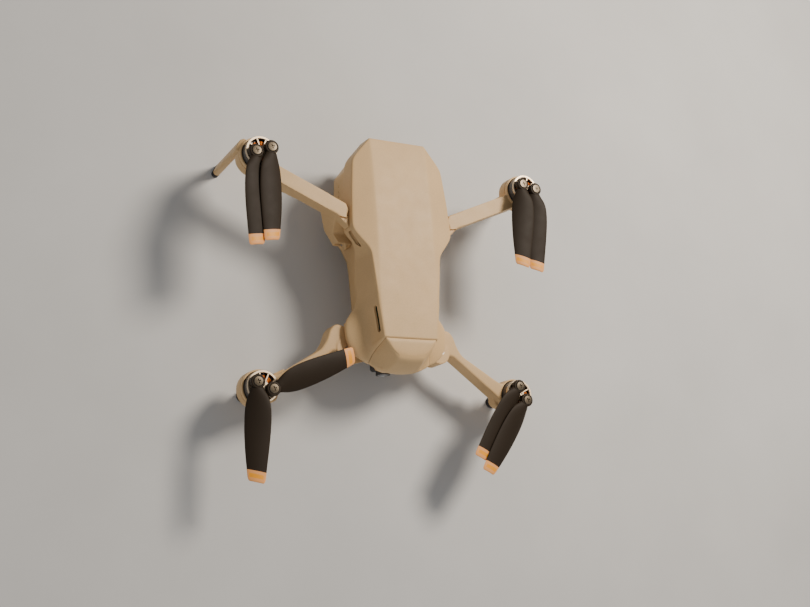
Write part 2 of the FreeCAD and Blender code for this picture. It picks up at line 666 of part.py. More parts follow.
def blade_section(at, chord, pitch, thick, handed, lift):
    """A thin lens-shaped section of a blade, across X at distance at."""
    half = chord / 2
    c, s = math.cos(math.radians(pitch)), math.sin(math.radians(pitch))

    def place(y, z):
        return V(at, handed * (y * c - z * s), y * s + z * c + lift)
    shift = chord * 0.04
    tail, lead = place(-half + shift, -0.1), place(half + shift, -0.1)
    upper = Part.Arc(tail, place(shift, thick * 0.62), lead).toShape()
    lower = Part.Arc(lead, place(shift, -thick * 0.38), tail).toShape()
    return Part.Wire([upper, lower])


def make_blade(top, outward, swing, handed):
    """One blade, turned to its place about its own screw."""
    lift = BLADE_BOSS_LOW + BLADE_BOSS_H / 2
    stations = ((3.0, 5.6, 12, 2.6), (8.0, 8.2, 21, 1.9), (15.0, 12.4, 19, 1.5), (24.0, BLADE_CHORD, 15, 1.3),
                (37.0, 12.4, 11.5, 1.1), (48.0, 10.2, 9.5, 0.95), (BLADE_LEN, 8.4, 8.5, 0.9))
    sections = [blade_section(at, chord, pitch, thick, handed, lift) for at, chord, pitch, thick in stations]
    vane = Part.makeLoft(sections, True, False)
    boss = rod(BLADE_BOSS_R, V(0, 0, BLADE_BOSS_LOW), Z_AXIS, BLADE_BOSS_H)
    blade = boss.fuse(vane).cut(rod(SCREW_R + RUN, V(0, 0, -5), Z_AXIS, 20))
    blade = blade.cut(rod(SCREW_HEAD_R + 0.25, V(0, 0, BLADE_BOSS_LOW + BLADE_BOSS_H), Z_AXIS, 3))
    blade.rotate(V(0, 0, 0), Z_AXIS, outward + swing)
    pivot = math.radians(outward)
    blade.translate(V(PIVOT_OFFSET * math.cos(pivot), PIVOT_OFFSET * math.sin(pivot), 0) + top)
    return blade


def make_screws(top, turn):
    screws = []
    for outward in (turn, turn + 180):
        a = math.radians(outward)
        at = V(top.x + PIVOT_OFFSET * math.cos(a), top.y + PIVOT_OFFSET * math.sin(a), 0)
        seat = top.z + BLADE_BOSS_LOW + BLADE_BOSS_H + 0.08
        head = rod(SCREW_HEAD_R, at + V(0, 0, seat), Z_AXIS, 1.0)
        head = head.cut(rod(1.1, at + V(0, 0, seat + 0.4), Z_AXIS, 1.0))
        shank = rod(SCREW_R, at + V(0, 0, top.z - 0.4), Z_AXIS, seat - top.z + 0.4)
        screws.append(fuse([head, shank]))
    return Part.makeCompound(screws)


# The bell's turn, and how far each blade is swung from straight out, in degrees.
# Handed +1 is a propeller that turns anticlockwise seen from above.
ROTORS = (
    ("front_left", FRONT_MOTOR, 1, -61.0, -65.0, 115.0, -1),
    ("front_right", FRONT_MOTOR, -1, -23.0, 46.0, 111.0, 1),
    ("rear_left", REAR_MOTOR, 1, -13.0, -81.0, 98.0, 1),
    ("rear_right", REAR_MOTOR, -1, 20.3, -111.3, 69.0, -1),
)

NODES = {
    "top_shell": make_top_shell,
    "nose_cap": make_nose_cap,
    "lower_shell": make_lower_shell,
    "belly_plate": make_belly_plate,
    "shell_screws": make_shell_screws,
    "inner_frame": make_inner_frame,
    "main_board": make_main_board,
    "heat_sink": make_heat_sink,
    "fan_rotor": make_fan_rotor,
    "gps_antenna": make_gps_antenna,
    "battery": make_battery,
    "battery_contacts": make_battery_contacts,
    "battery_door": make_battery_door,
    "battery_door_pin": make_battery_door_pin,
    "usb_port": make_usb_port,
    "memory_card_slot": make_memory_card_slot,
    "vision_lenses": make_vision_lenses,
    "infrared_window": make_infrared_window,
    "power_button": make_power_button,
    "power_lights": make_power_lights,
    "gimbal_plate": make_gimbal_plate,
    "gimbal_dampers": make_gimbal_dampers,
    "gimbal_yaw_arm": make_gimbal_yaw_arm,
    "gimbal_roll_arm": make_gimbal_roll_arm,
    "camera_body": make_camera_body,
    "camera_lens": make_camera_lens,
}

PAIRED_NODES = {
    "front_arm": make_front_arm,
    "front_hinge_pin": make_front_pin,
    "front_foot": make_front_foot,
    "rear_arm": make_rear_arm,
    "rear_hinge_pin": make_rear_pin,
    "rear_foot": make_rear_foot,
}


def main():
    os.makedirs("parts", exist_ok=True)
    for name, make in NODES.items():
        save(name, make())
    for name, make in PAIRED_NODES.items():
        shape = make()
        for side, sign in SIDES:
            save(name + "_" + side, on_side(shape, sign))
    for place, motor, sign, turn, swing_a, swing_b, handed in ROTORS:
        top = V(sign * motor.x, motor.y, motor.z)
        save("stator_" + place, make_stator(top))
        save("rotor_bell_" + place, make_bell(top, turn))
        save("blade_screws_" + place, make_screws(top, turn))
        save("blade_a_" + place, make_blade(top, turn, swing_a, handed))
        save("blade_b_" + place, make_blade(top, turn + 180, swing_b, handed))


main()
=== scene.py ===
"""Looks of a folding palm-sized camera quadcopter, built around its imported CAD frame.

Axes are the frame's own: nose to -Y, left side to +X, ground at z = 0. Shapes are written in
millimetres, with y = 0 near mid-body, and mesh_object turns them into metres in the frame.
"""
import json
import math

import bmesh
import bpy
from mathutils import Euler, Matrix, Vector, kdtree

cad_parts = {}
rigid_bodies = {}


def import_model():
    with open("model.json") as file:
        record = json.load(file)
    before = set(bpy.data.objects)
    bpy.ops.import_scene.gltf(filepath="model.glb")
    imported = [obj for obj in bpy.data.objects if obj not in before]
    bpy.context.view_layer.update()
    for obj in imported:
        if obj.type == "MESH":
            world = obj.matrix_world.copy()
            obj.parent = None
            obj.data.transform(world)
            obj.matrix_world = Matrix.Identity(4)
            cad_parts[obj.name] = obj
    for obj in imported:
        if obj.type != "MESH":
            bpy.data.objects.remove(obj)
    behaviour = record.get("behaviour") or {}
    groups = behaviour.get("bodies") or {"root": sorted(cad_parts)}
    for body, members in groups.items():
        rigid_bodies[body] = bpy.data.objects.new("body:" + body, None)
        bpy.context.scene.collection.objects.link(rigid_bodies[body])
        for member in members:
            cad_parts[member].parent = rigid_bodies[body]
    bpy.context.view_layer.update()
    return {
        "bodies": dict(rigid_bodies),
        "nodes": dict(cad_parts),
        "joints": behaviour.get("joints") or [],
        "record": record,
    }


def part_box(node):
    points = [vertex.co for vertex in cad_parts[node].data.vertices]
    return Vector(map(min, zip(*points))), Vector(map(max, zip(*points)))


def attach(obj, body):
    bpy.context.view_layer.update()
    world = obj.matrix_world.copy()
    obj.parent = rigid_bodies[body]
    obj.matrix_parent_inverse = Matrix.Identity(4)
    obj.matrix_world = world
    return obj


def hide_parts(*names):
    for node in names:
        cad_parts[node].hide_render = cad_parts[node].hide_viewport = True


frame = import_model()

SHELL = (0.66, 0.44, 0.215)
ARM = (0.645, 0.43, 0.21)
BLADE = (0.022, 0.014, 0.0075)


# ---- materials ----
class Nodes:
    """A small helper for writing a material's node tree."""

    def __init__(self, name):
        self.material = bpy.data.materials.new(name)
        self.material.use_nodes = True
        self.tree = self.material.node_tree
        self.shader = self.tree.nodes["Principled BSDF"]
        self.place = self.new("ShaderNodeTexCoord").outputs["Object"]

    def new(self, kind, **settings):
        node = self.tree.nodes.new(kind)
        for key, value in settings.items():
            setattr(node, key, value)
        return node

    def link(self, source, target):
        self.tree.links.new(source, target)

    def noise(self, scale, detail=3.0, rough=0.55, source=None):
        node = self.new("ShaderNodeTexNoise")
        node.inputs["Scale"].default_value = scale
        node.inputs["Detail"].default_value = detail
        node.inputs["Roughness"].default_value = rough
        self.link(source or self.place, node.inputs["Vector"])
        return node.outputs["Fac"]

    def ramp(self, source, stops):
        node = self.new("ShaderNodeValToRGB")
        while len(node.color_ramp.elements) < len(stops):
            node.color_ramp.elements.new(0.5)
        for element, (at, colour) in zip(node.color_ramp.elements, stops):
            element.position = at
            element.color = (*colour, 1.0)
        self.link(source, node.inputs["Fac"])
        return node.outputs["Color"]

    def span(self, source, low, high, from_low=0.0, from_high=1.0):
        node = self.new("ShaderNodeMapRange")
        node.inputs["From Min"].default_value = from_low
        node.inputs["From Max"].default_value = from_high
        node.inputs["To Min"].default_value = low
        node.inputs["To Max"].default_value = high
        self.link(source, node.inputs["Value"])
        return node.outputs["Result"]

    def mix(self, factor, first, second, blend="MIX"):
        node = self.new("ShaderNodeMix", data_type="RGBA", blend_type=blend)
        for socket, value in (("A", first), ("B", second)):
            slot = [s for s in node.inputs if s.name == socket and s.type == "RGBA"][0]
            if isinstance(value, tuple):
                slot.default_value = (*value, 1.0)
            else:
                self.link(value, slot)
        if isinstance(factor, float):
            node.inputs["Factor"].default_value = factor
        else:
            self.link(factor, node.inputs["Factor"])
        return [s for s in node.outputs if s.type == "RGBA"][0]

    def edge(self, low=0.5, high=0.56):
        """1 on convex edges, 0 on flat surfaces."""
        point = self.new("ShaderNodeNewGeometry").outputs["Pointiness"]
        return self.span(point, 0.0, 1.0, low, high)

    def bump(self, source, strength, distance, below=None):
        node = self.new("ShaderNodeBump")
        node.inputs["Strength"].default_value = strength
        node.inputs["Distance"].default_value = distance
        self.link(source, node.inputs["Height"])
        if below:
            self.link(below, node.inputs["Normal"])
        return node.outputs["Normal"]

    def set(self, **values):
        for key, value in values.items():
            socket = self.shader.inputs[key.replace("_", " ")]
            if isinstance(value, (int, float)):
                socket.default_value = value
            elif isinstance(value, tuple):
                socket.default_value = (*value, 1.0)
            else:
                self.link(value, socket)
        return self.material


def shade(colour, by):
    """A colour made darker or brighter."""
    return tuple(min(1.0, c * by) for c in colour)


def moulded(name, colour, roughness=0.5, grain=0.22, fine=3200.0, edge_wear_and_highlight=1.12, shine=0.4):
    """Sprayed or moulded plastic: cloudy colour, fine pimpled texture, paler edges that are partly wear and
    partly a painted highlight.
    """
    n = Nodes(name)
    cloud = n.ramp(n.noise(55.0, 4.0), [(0.3, shade(colour, 0.93)), (0.7, shade(colour, 1.05))])
    speck = n.ramp(n.noise(fine * 0.5, 2.0), [(0.4, shade(colour, 0.90)), (0.62, shade(colour, 1.08))])
    body = n.mix(0.35, cloud, speck)
    # Convex edges made paler: partly wear, partly a painted highlight where edges catch the light.
    worn_and_highlit = n.mix(n.edge(), body, shade(colour, edge_wear_and_highlight))
    height = n.noise(fine, 2.0, 0.6)
    rough = n.span(n.noise(140.0, 4.0), roughness - 0.07, roughness + 0.08)
    return n.set(Base_Color=worn_and_highlit, Roughness=rough, Normal=n.bump(height, grain, 0.00012),
                 Specular_IOR_Level=shine)


def metal(name, colour, roughness=0.32, turned=True):
    """Turned or drawn metal: fine rings about each piece's own height, and smudges."""
    n = Nodes(name)
    smudge = n.noise(260.0, 5.0, 0.6)
    tint = n.ramp(smudge, [(0.3, shade(colour, 0.82)), (0.7, shade(colour, 1.08))])
    split = n.new("ShaderNodeSeparateXYZ")
    n.link(n.place, split.inputs["Vector"])
    wave = n.new("ShaderNodeMath", operation="SINE")
    fast = n.new("ShaderNodeMath", operation="MULTIPLY")
    fast.inputs[1].default_value = 42000.0 if turned else 9000.0
    n.link(split.outputs["Z"], fast.inputs[0])
    n.link(fast.outputs[0], wave.inputs[0])
    rough = n.span(smudge, roughness - 0.1, roughness + 0.14)
    # Paler convex edges: partly wear, partly a painted highlight where edges catch the light.
    return n.set(Base_Color=n.mix(n.edge(), tint, shade(colour, 1.25)), Roughness=rough, Metallic=1.0,
                 Normal=n.bump(wave.outputs[0], 0.12, 0.00003))


def rubber(name, colour):
    """Matt black rubber with paler edges, partly dust and partly a painted highlight."""
    n = Nodes(name)
    tint = n.ramp(n.noise(400.0, 5.0), [(0.3, shade(colour, 0.8)), (0.72, shade(colour, 1.7))])
    # Paler convex edges: partly dust, partly a painted highlight where edges catch the light.
    dust_and_highlight = n.mix(n.edge(), tint, shade(colour, 3.2))
    return n.set(Base_Color=dust_and_highlight, Roughness=n.span(n.noise(900.0), 0.72, 0.92),
                 Normal=n.bump(n.noise(2600.0, 4.0), 0.35, 0.0001))


def glass(name, colour):
    """Dark coated glass."""
    n = Nodes(name)
    tint = n.ramp(n.noise(90.0), [(0.35, shade(colour, 0.7)), (0.7, shade(colour, 1.6))])
    return n.set(Base_Color=tint, Roughness=n.span(n.noise(700.0, 5.0), 0.03, 0.10), Coat_Weight=1.0,
                 Coat_Roughness=0.02, IOR=1.6)


def printed_board(name):
    """Green board with a pattern of tracks."""
    n = Nodes(name)
    cell = n.new("ShaderNodeTexVoronoi", feature="F1", distance="CHEBYCHEV")
    cell.inputs["Scale"].default_value = 420.0
    n.link(n.place, cell.inputs["Vector"])
    tint = n.ramp(cell.outputs["Distance"], [(0.25, (0.012, 0.10, 0.045)), (0.6, (0.02, 0.19, 0.08))])
    return n.set(Base_Color=tint, Roughness=n.span(n.noise(300.0), 0.25, 0.45),
                 Normal=n.bump(cell.outputs["Distance"], 0.4, 0.0001))


def copper_coil(name):
    """Enamelled copper wire: warm, glossy, a little uneven."""
    n = Nodes(name)
    tint = n.ramp(n.noise(900.0, 4.0), [(0.3, (0.80, 0.24, 0.04)), (0.7, (1.0, 0.48, 0.12))])
    return n.set(Base_Color=tint, Roughness=n.span(n.noise(500.0), 0.22, 0.42), Metallic=0.6,
                 Normal=n.bump(n.noise(3000.0), 0.15, 0.00005))


MATERIALS = {
    "shell_grey": moulded("shell_grey", SHELL),
    "arm_grey": moulded("arm_grey", ARM),
    "belly_grey": moulded("belly_grey", shade(SHELL, 0.72), 0.55),
    "door_grey": moulded("door_grey", shade(SHELL, 0.95)),
    "blade_dark": moulded("blade_dark", BLADE, 0.60, 0.1, 2400.0, 1.4, 0.22),
    "bell_metal": metal("bell_metal", (0.50, 0.41, 0.30), 0.42),
    "stator": copper_coil("stator"),
    "core_steel": metal("core_steel", (0.16, 0.15, 0.145), 0.45, False),
    "bell_black": moulded("bell_black", (0.030, 0.028, 0.027), 0.32, 0.06, 2600.0, 2.4),
    "screw_dark": metal("screw_dark", (0.10, 0.082, 0.06), 0.38),
    "tip_orange": moulded("tip_orange", (0.90, 0.40, 0.13), 0.5, 0.1, 2400.0, 1.1),
    "tip_bright": moulded("tip_bright", (0.95, 0.38, 0.012), 0.46, 0.1, 2400.0, 1.05),
    "steel": metal("steel", (0.42, 0.42, 0.43), 0.28),
    "screw_black": metal("screw_black", (0.09, 0.085, 0.08), 0.38),
    "rubber_black": rubber("rubber_black", (0.012, 0.012, 0.013)),
    "gimbal_black": moulded("gimbal_black", (0.035, 0.034, 0.034), 0.38, 0.12, 2800.0, 1.8),
    "lens_glass": glass("lens_glass", (0.006, 0.009, 0.016)),
    "window_dark": glass("window_dark", (0.012, 0.004, 0.006)),
    "board_green": printed_board("board_green"),
    "heat_aluminium": metal("heat_aluminium", (0.62, 0.62, 0.62), 0.42, False),
    "battery_grey": moulded("battery_grey", (0.20, 0.20, 0.205), 0.5),
    "frame_magnesium": metal("frame_magnesium", (0.30, 0.30, 0.31), 0.5, False),
    "antenna_tan": moulded("antenna_tan", (0.68, 0.60, 0.42), 0.6),
    "button_grey": moulded("button_grey", (0.22, 0.22, 0.22), 0.35),
    "light_guide": moulded("light_guide", (0.78, 0.79, 0.77), 0.25),
    "port_steel": metal("port_steel", (0.5, 0.5, 0.51), 0.3, False),
}


def dress_nodes():
    """Gives each CAD node the material of its slot."""
    slots = {s["node"]: s["material_slot"] for s in frame["record"]["subparts"]}
    for name, piece in frame["nodes"].items():
        piece.data.materials.clear()
        piece.data.materials.append(MATERIALS[slots[name]])


# ---- geometry helpers: all sizes in millimetres, turned to metres when a piece is made ----
MM = 0.001
tail_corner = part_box("top_shell")[1]
TAIL = 81.0                              # y of the shell's rear edge, with y = 0 near mid-body
SHIFT = tail_corner[1] / MM - TAIL
SIDES = (("left", 1), ("right", -1))
SMOOTH = math.radians(38)


def corners(node):
    """A node's lowest and highest corners in millimetres, with y = 0 near mid-body."""
    low, high = (Vector(c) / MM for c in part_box(node))
    return low - Vector((0, SHIFT, 0)), high - Vector((0, SHIFT, 0))


def pivot(joint):
    """A joint's place in millimetres, with y = 0 near mid-body."""
    at = [j for j in frame["joints"] if j["name"] == joint][0]["pos_m"]
    return Vector(at) / MM - Vector((0, SHIFT, 0))


def mesh_object(name, points, faces):
    """A closed or open mesh from points in millimetres, with its faces turned outwards."""
    mesh = bpy.data.meshes.new(name)
    mesh.from_pydata([(x * MM, (y + SHIFT) * MM, z * MM) for x, y, z in points], [], faces)
    mesh.validate()
    piece = bpy.data.objects.new(name, mesh)
    bpy.context.scene.collection.objects.link(piece)
    work = bmesh.new()
    work.from_mesh(mesh)
    bmesh.ops.recalc_face_normals(work, faces=work.faces)
    work.to_mesh(mesh)
    work.free()
    return piece


def bake_modifiers(piece):
    """Turns the piece's modifiers into its mesh."""
    graph = bpy.context.evaluated_depsgraph_get()
    done = bpy.data.meshes.new_from_object(piece.evaluated_get(graph))
    old = piece.data
    piece.modifiers.clear()
    piece.data = done
    bpy.data.meshes.remove(old)


def modify(piece, kind, **settings):
    """Adds a modifier with its settings."""
    modifier = piece.modifiers.new(kind.lower(), kind)
    for key, value in settings.items():
        setattr(modifier, key, value)


def combine(piece, other, operation):
    """Joins other to the piece, or cuts it away, and removes it."""
    modify(piece, "BOOLEAN", object=other, operation=operation, solver="EXACT")
    bake_modifiers(piece)
    bpy.data.objects.remove(other)


def soften(piece, width, segments=2, angle=32.0):
    """Rounds the piece's sharp edges by a width in millimetres."""
    modify(piece, "BEVEL", width=width * MM, segments=segments, limit_method="ANGLE",
           angle_limit=math.radians(angle), harden_normals=False)
    bake_modifiers(piece)


def settle(piece, body, slot, material, *nodes, sharp=SMOOTH):
    """Gives a finished piece its shading, material and body, and hides the CAD nodes that it replaces; slot
    is not used.
    """
    mesh = piece.data
    mesh.shade_smooth()
    mesh.set_sharp_from_angle(angle=sharp)
    if material:
        mesh.materials.clear()
        mesh.materials.append(MATERIALS[material])
    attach(piece, body)
    if nodes:
        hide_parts(*nodes)
    return piece


def rounded_path(points, radius, steps=5):
    """A closed plan outline with each corner rounded; a third value in a point is its own radius."""
    out = []
    count = len(points)
    for i, point in enumerate(points):
        here = Vector(point[:2])
        before, after = Vector(points[i - 1][:2]) - here, Vector(points[(i + 1) % count][:2]) - here
        r = point[2] if len(point) > 2 else radius
        cut = min(r, 0.45 * before.length, 0.45 * after.length)
        start, end = here + before.normalized() * cut, here + after.normalized() * cut
        for k in range(steps + 1):
            t = k / steps
            out.append(start * (1 - t) ** 2 + here * 2 * t * (1 - t) + end * t * t)
    return out


def inset_path(path, by):
    """The closed outline moved inwards; it runs anticlockwise."""
    out = []
    count = len(path)
    for i, here in enumerate(path):
        along = (path[(i + 1) % count] - path[i - 1]).normalized()
        out.append(here + Vector((-along.y, along.x)) * by)
    return out


def slab(name, outline, low, high, radius=0.8, edge=0.6):
    """A solid over a rounded plan outline; low and high are heights or functions of (x, y)."""
    path = rounded_path(outline, radius)
    area = sum(path[i - 1].x * p.y - p.x * path[i - 1].y for i, p in enumerate(path))
    if area < 0:
        path.reverse()
    bottom = low if callable(low) else (lambda x, y: low)
    top = high if callable(high) else (lambda x, y: high)
    rings = [(bottom, 1, 1.0), (bottom, 1, 0.3), (bottom, 1, 0.0),
             (top, -1, 0.0), (top, -1, 0.3), (top, -1, 1.0)]
    drops = {1.0: 0.0, 0.3: 0.3 * edge, 0.0: edge}
    points, faces = [], []
    for surface, up, share in rings:
        drop = drops[share]
        for p in inset_path(path, edge * share):
            points.append((p.x, p.y, surface(p.x, p.y) + up * drop))
    n = len(path)
    for ring in range(len(rings) - 1):
        for i in range(n):
            j = (i + 1) % n
            faces.append((ring * n + i, ring * n + j, (ring + 1) * n + j, (ring + 1) * n + i))
    faces.append(tuple(reversed(range(n))))
    faces.append(tuple(range((len(rings) - 1) * n, len(rings) * n)))
    return mesh_object(name, points, faces)


def lathe(name, profile, centre, count=64, direction=(0, 0, 1)):
    """A turned solid; its profile is (radius, height) points, from the bottom to the top."""
    turn = Vector((0, 0, 1)).rotation_difference(Vector(direction))
    points, faces, rings = [], [], []
    for r, h in profile:
        if r < 1e-6:
            rings.append([len(points)])
            points.append(Vector(centre) + turn @ Vector((0, 0, h)))
            continue
        rings.append(list(range(len(points), len(points) + count)))
        for i in range(count):
            a = 2 * math.pi * i / count
            points.append(Vector(centre) + turn @ Vector((r * math.cos(a), r * math.sin(a), h)))
    closed = len(rings[0]) > 1
    pairs = list(zip(rings, rings[1:])) + ([(rings[-1], rings[0])] if closed else [])
    for lower, upper in pairs:
        for i in range(count):
            j = (i + 1) % count
            face = [lower[k % len(lower)] for k in (i, j)] + [upper[k % len(upper)] for k in (j, i)]
            faces.append(tuple(dict.fromkeys(face)))
    return mesh_object(name, points, faces)


def boxed(name, x0, x1, y0, y1, z0, z1, edge=0.3, segments=2):
    """A box with softened edges."""
    points = [(x, y, z) for z in (z0, z1) for x, y in ((x0, y0), (x1, y0), (x1, y1), (x0, y1))]
    faces = [(3, 2, 1, 0), (4, 5, 6, 7), (0, 1, 5, 4), (1, 2, 6, 5), (2, 3, 7, 6), (3, 0, 4, 7)]
    piece = mesh_object(name, points, faces)
    if edge:
        soften(piece, edge, segments)
    return piece


def join(name, pieces):
    """One object from several, each keeping its own material."""
    for piece in bpy.context.selected_objects:
        piece.select_set(False)
    for piece in pieces:
        piece.select_set(True)
    bpy.context.view_layer.objects.active = pieces[0]
    bpy.ops.object.join()
    pieces[0].name = name
    pieces[0].data.name = name
    return pieces[0]


def paint(piece, material):
    """Gives the whole piece one material."""
    piece.data.materials.clear()
    piece.data.materials.append(MATERIALS[material])


# ---- upper body: one moulded skin, split at the nose seam ----
# Stations go round the left half from the tail to the nose: a point on the top panel's edge,
# a point on the lower rim, and the kind of side between them.
BODY_STATIONS = [
    ((18.1, 81.0, 46.6), (18.6, 81.8, 36.0), "wall"),
    ((29.2, 67.3, 45.7), (30.2, 67.8, 36.0), "wall"),
    ((31.3, 45.0, 47.0), (32.3, 45.0, 36.0), "wall"),
    ((32.4, 24.2, 47.8), (33.2, 23.6, 37.0), "wall"),
    ((27.4, 18.2, 49.0), (28.2, 17.2, 40.0), "wall"),
    ((22.3, 12.1, 50.3), (25.0, 10.5, 33.0), "waist"),
    ((20.9, -2.0, 50.7), (24.6, -3.0, 31.0), "waist"),
    ((19.3, -15.0, 50.8), (24.2, -16.0, 32.0), "waist"),
    ((18.4, -27.4, 50.8), (33.3, -28.3, 34.0), "shoulder"),
    ((17.6, -35.0, 50.8), (33.0, -37.0, 34.2), "shoulder"),
    ((17.3, -37.4, 50.8), (31.8, -42.3, 34.4), "shoulder"),
    ((17.2, -38.6, 50.8), (27.4, -47.9, 34.7), "shoulder"),
    ((17.1, -39.0, 50.8), (19.6, -52.0, 34.9), "valley"),
    ((14.8, -42.4, 50.4), (16.6, -53.6, 34.8), "scoop"),
    ((12.2, -46.8, 49.9), (13.0, -55.2, 34.7), "scoop"),
    ((8.5, -49.1, 49.6), (9.0, -56.4, 34.6), "nose"),
]
SEAM_STATION = 12
NOSE_MIDDLE = (-49.9, -57.2, 34.4)          # y of the panel's end, y and z of the rim at the nose
PANEL_CREASE = 18.2
PANEL_TOP = 51.0
TAIL_FALL = (12.0, 81.0, 4.4)               # the panel falls from the first y to the second by this much
# Sides from the panel's edge out to the rim: shares of the way out and of the way down.
SIDE_SHAPES = {
    "wall": [
        (0, 0), (0.3, 0.015), (0.55, 0.06), (0.72, 0.18), (0.82, 0.38), (0.92, 0.7), (0.97, 0.88), (1, 1)],
    "waist": [
        (0, 0), (0.1, 0.01), (0.2, 0.05), (0.29, 0.16), (0.4, 0.36), (0.66, 0.66), (0.88, 0.86), (1, 1)],
    "shoulder": [
        (0, 0), (0.03, 0.02), (0.06, 0.12), (0.12, 0.4), (0.21, 0.66), (0.37, 0.79), (0.68, 0.87), (1, 1)],
    "valley": [
        (0, 0), (0.05, 0.03), (0.12, 0.14), (0.27, 0.42), (0.45, 0.68), (0.62, 0.84), (0.82, 0.94), (1, 1)],
    "scoop": [
        (0, 0), (0.08, 0.04), (0.18, 0.16), (0.34, 0.4), (0.5, 0.64), (0.7, 0.83), (0.88, 0.94), (1, 1)],
    "nose": [
        (0, 0), (0.14, 0.02), (0.3, 0.09), (0.48, 0.23), (0.66, 0.44), (0.82, 0.68), (0.93, 0.87), (1, 1)],
}
# Below the rim: steps inwards and down, in millimetres.
RIM_SHAPES = {
    "wall": [(0.05, 0.5), (0.3, 1.0), (2.2, 1.3)],
    "waist": [(0.1, 0.8), (0.9, 2.0), (3.4, 4.2)],
    "shoulder": [(0.0, 1.3), (0.35, 2.7), (3.0, 3.4)],
    "valley": [(0.0, 1.2), (0.35, 2.5), (2.6, 3.1)],
    "scoop": [(0.0, 1.2), (0.35, 2.5), (2.6, 3.1)],
    "nose": [(0.0, 1.2), (0.35, 2.5), (2.6, 3.1)],
}
STATION_STEP = 1.9
SKIN_WALL = 1.2
NOTCH_SLOT = [(32.9, 23.0), (26.2, 14.4), (23.6, 16.4), (30.0, 25.0)]     # in plan, through the notch's slant
NOTCH_SLOT_HEIGHTS = (41.0, 44.4)
VENT = (-36.2, -20.8, 45.9, 48.6)          # the side slit's front, back, low and high
VENT_CUT_X = (14.0, 26.0)                  # from inside the skin to outside it


def spread_stations():
    """The body stations with even ones added between them, and their corners eased."""
    kinds = sorted(SIDE_SHAPES)
    rows = []
    for index, (inner, outer, kind) in enumerate(BODY_STATIONS):
        weights = [1.0 if kind == k else 0.0 for k in kinds]
        here = list(inner) + list(outer) + weights
        if index:
            last = rows[-1]
            reach = max(math.dist(last[0:3], inner), 0.75 * math.dist(last[3:6], outer))
            steps = max(2, round(reach / STATION_STEP))
            for k in range(1, steps):
                t = k / steps
                rows.append([a + (b - a) * t for a, b in zip(last, here)])
        if index == SEAM_STATION:
            seam = len(rows)
        rows.append(here)
    for _ in range(3):
        eased = [rows[0]]
        for before, row, after in zip(rows, rows[1:], rows[2:]):
            eased.append([a * 0.25 + b * 0.5 + c * 0.25 for a, b, c in zip(before, row, after)])
        rows = eased + [rows[-1]]
    stations = []
    for row in rows:
        side = blend_shapes(SIDE_SHAPES, kinds, row[6:])
        rim = blend_shapes(RIM_SHAPES, kinds, row[6:])
        stations.append((Vector(row[0:3]), Vector(row[3:6]), side, rim))
    return stations, seam


def blend_shapes(shapes, kinds, weights):
    count = len(shapes[kinds[0]])
    return [tuple(sum(w * shapes[k][i][axis] for k, w in zip(kinds, weights)) for axis in (0, 1))
            for i in range(count)]


def panel_height(y):
    start, end, fall = TAIL_FALL
    part = min(1.0, max(0.0, (y - start) / (end - start)))
    front = max(0.0, (-39.0 - y) / 11.0)
    return PANEL_TOP - fall * part * part - 1.3 * front * front


def panel_row(station):
    """Points across the top panel from the left edge to the right edge."""
    edge = station[0]
    crease = min(PANEL_CREASE, edge.x - 0.9)
    outer = [edge.x, crease + (edge.x - crease) * 0.62, crease + (edge.x - crease) * 0.3, crease + 0.25]
    inner = [crease * k for k in (0.97, 0.86, 0.65, 0.43, 0.21, 0.0)]
    half = []
    middle = panel_height(edge.y)
    bow = min(1.0, max(0.0, (-43.0 - edge.y) / 6.0)) * (edge.y - NOSE_MIDDLE[0])
    for x in outer + inner:
        share = max(0.0, (x - crease) / (edge.x - crease))
        z = middle + (edge.z - middle) * share
        half.append(Vector((x, edge.y - bow * (1 - (x / edge.x) ** 2), z)))
    return half + [Vector((-p.x, p.y, p.z)) for p in reversed(half[:-1])]


def skirt_column(start, rim_point, side, rim):
    """Points from the panel's edge down to the rim and in under it."""
    out = Vector((rim_point.x - start.x, rim_point.y - start.y, 0))
    drop = start.z - rim_point.z
    column = [start + out * share - Vector((0, 0, drop * down)) for share, down in side[1:]]
    inwards = -out.normalized()
    for step, down in rim:
        column.append(rim_point + inwards * step - Vector((0, 0, down)))
    return column


def skin_stations():
    """All skirt columns in order round the body, with the panel's grid."""
    stations, seam = spread_stations()
    grid = [panel_row(s) for s in stations]
    first, last = stations[0], stations[-1]
    left = [skirt_column(*s) for s in stations]
    nose = []
    for p in grid[-1][1:-1]:
        share = (p.x / last[0].x) ** 2
        rim = Vector((p.x * last[1].x / last[0].x, NOSE_MIDDLE[1] + (last[1].y - NOSE_MIDDLE[1]) * share,
                      NOSE_MIDDLE[2] + (last[1].z - NOSE_MIDDLE[2]) * share))
        nose.append(skirt_column(p, rim, last[2], last[3]))
    tail = []
    for p in grid[0][1:-1]:
        rim = Vector((p.x * first[1].x / first[0].x, first[1].y, first[1].z))
        tail.append(skirt_column(p, rim, first[2], first[3]))
    right = [[Vector((-p.x, p.y, p.z)) for p in column] for column in left]
    return grid, left, right, nose, tail, seam


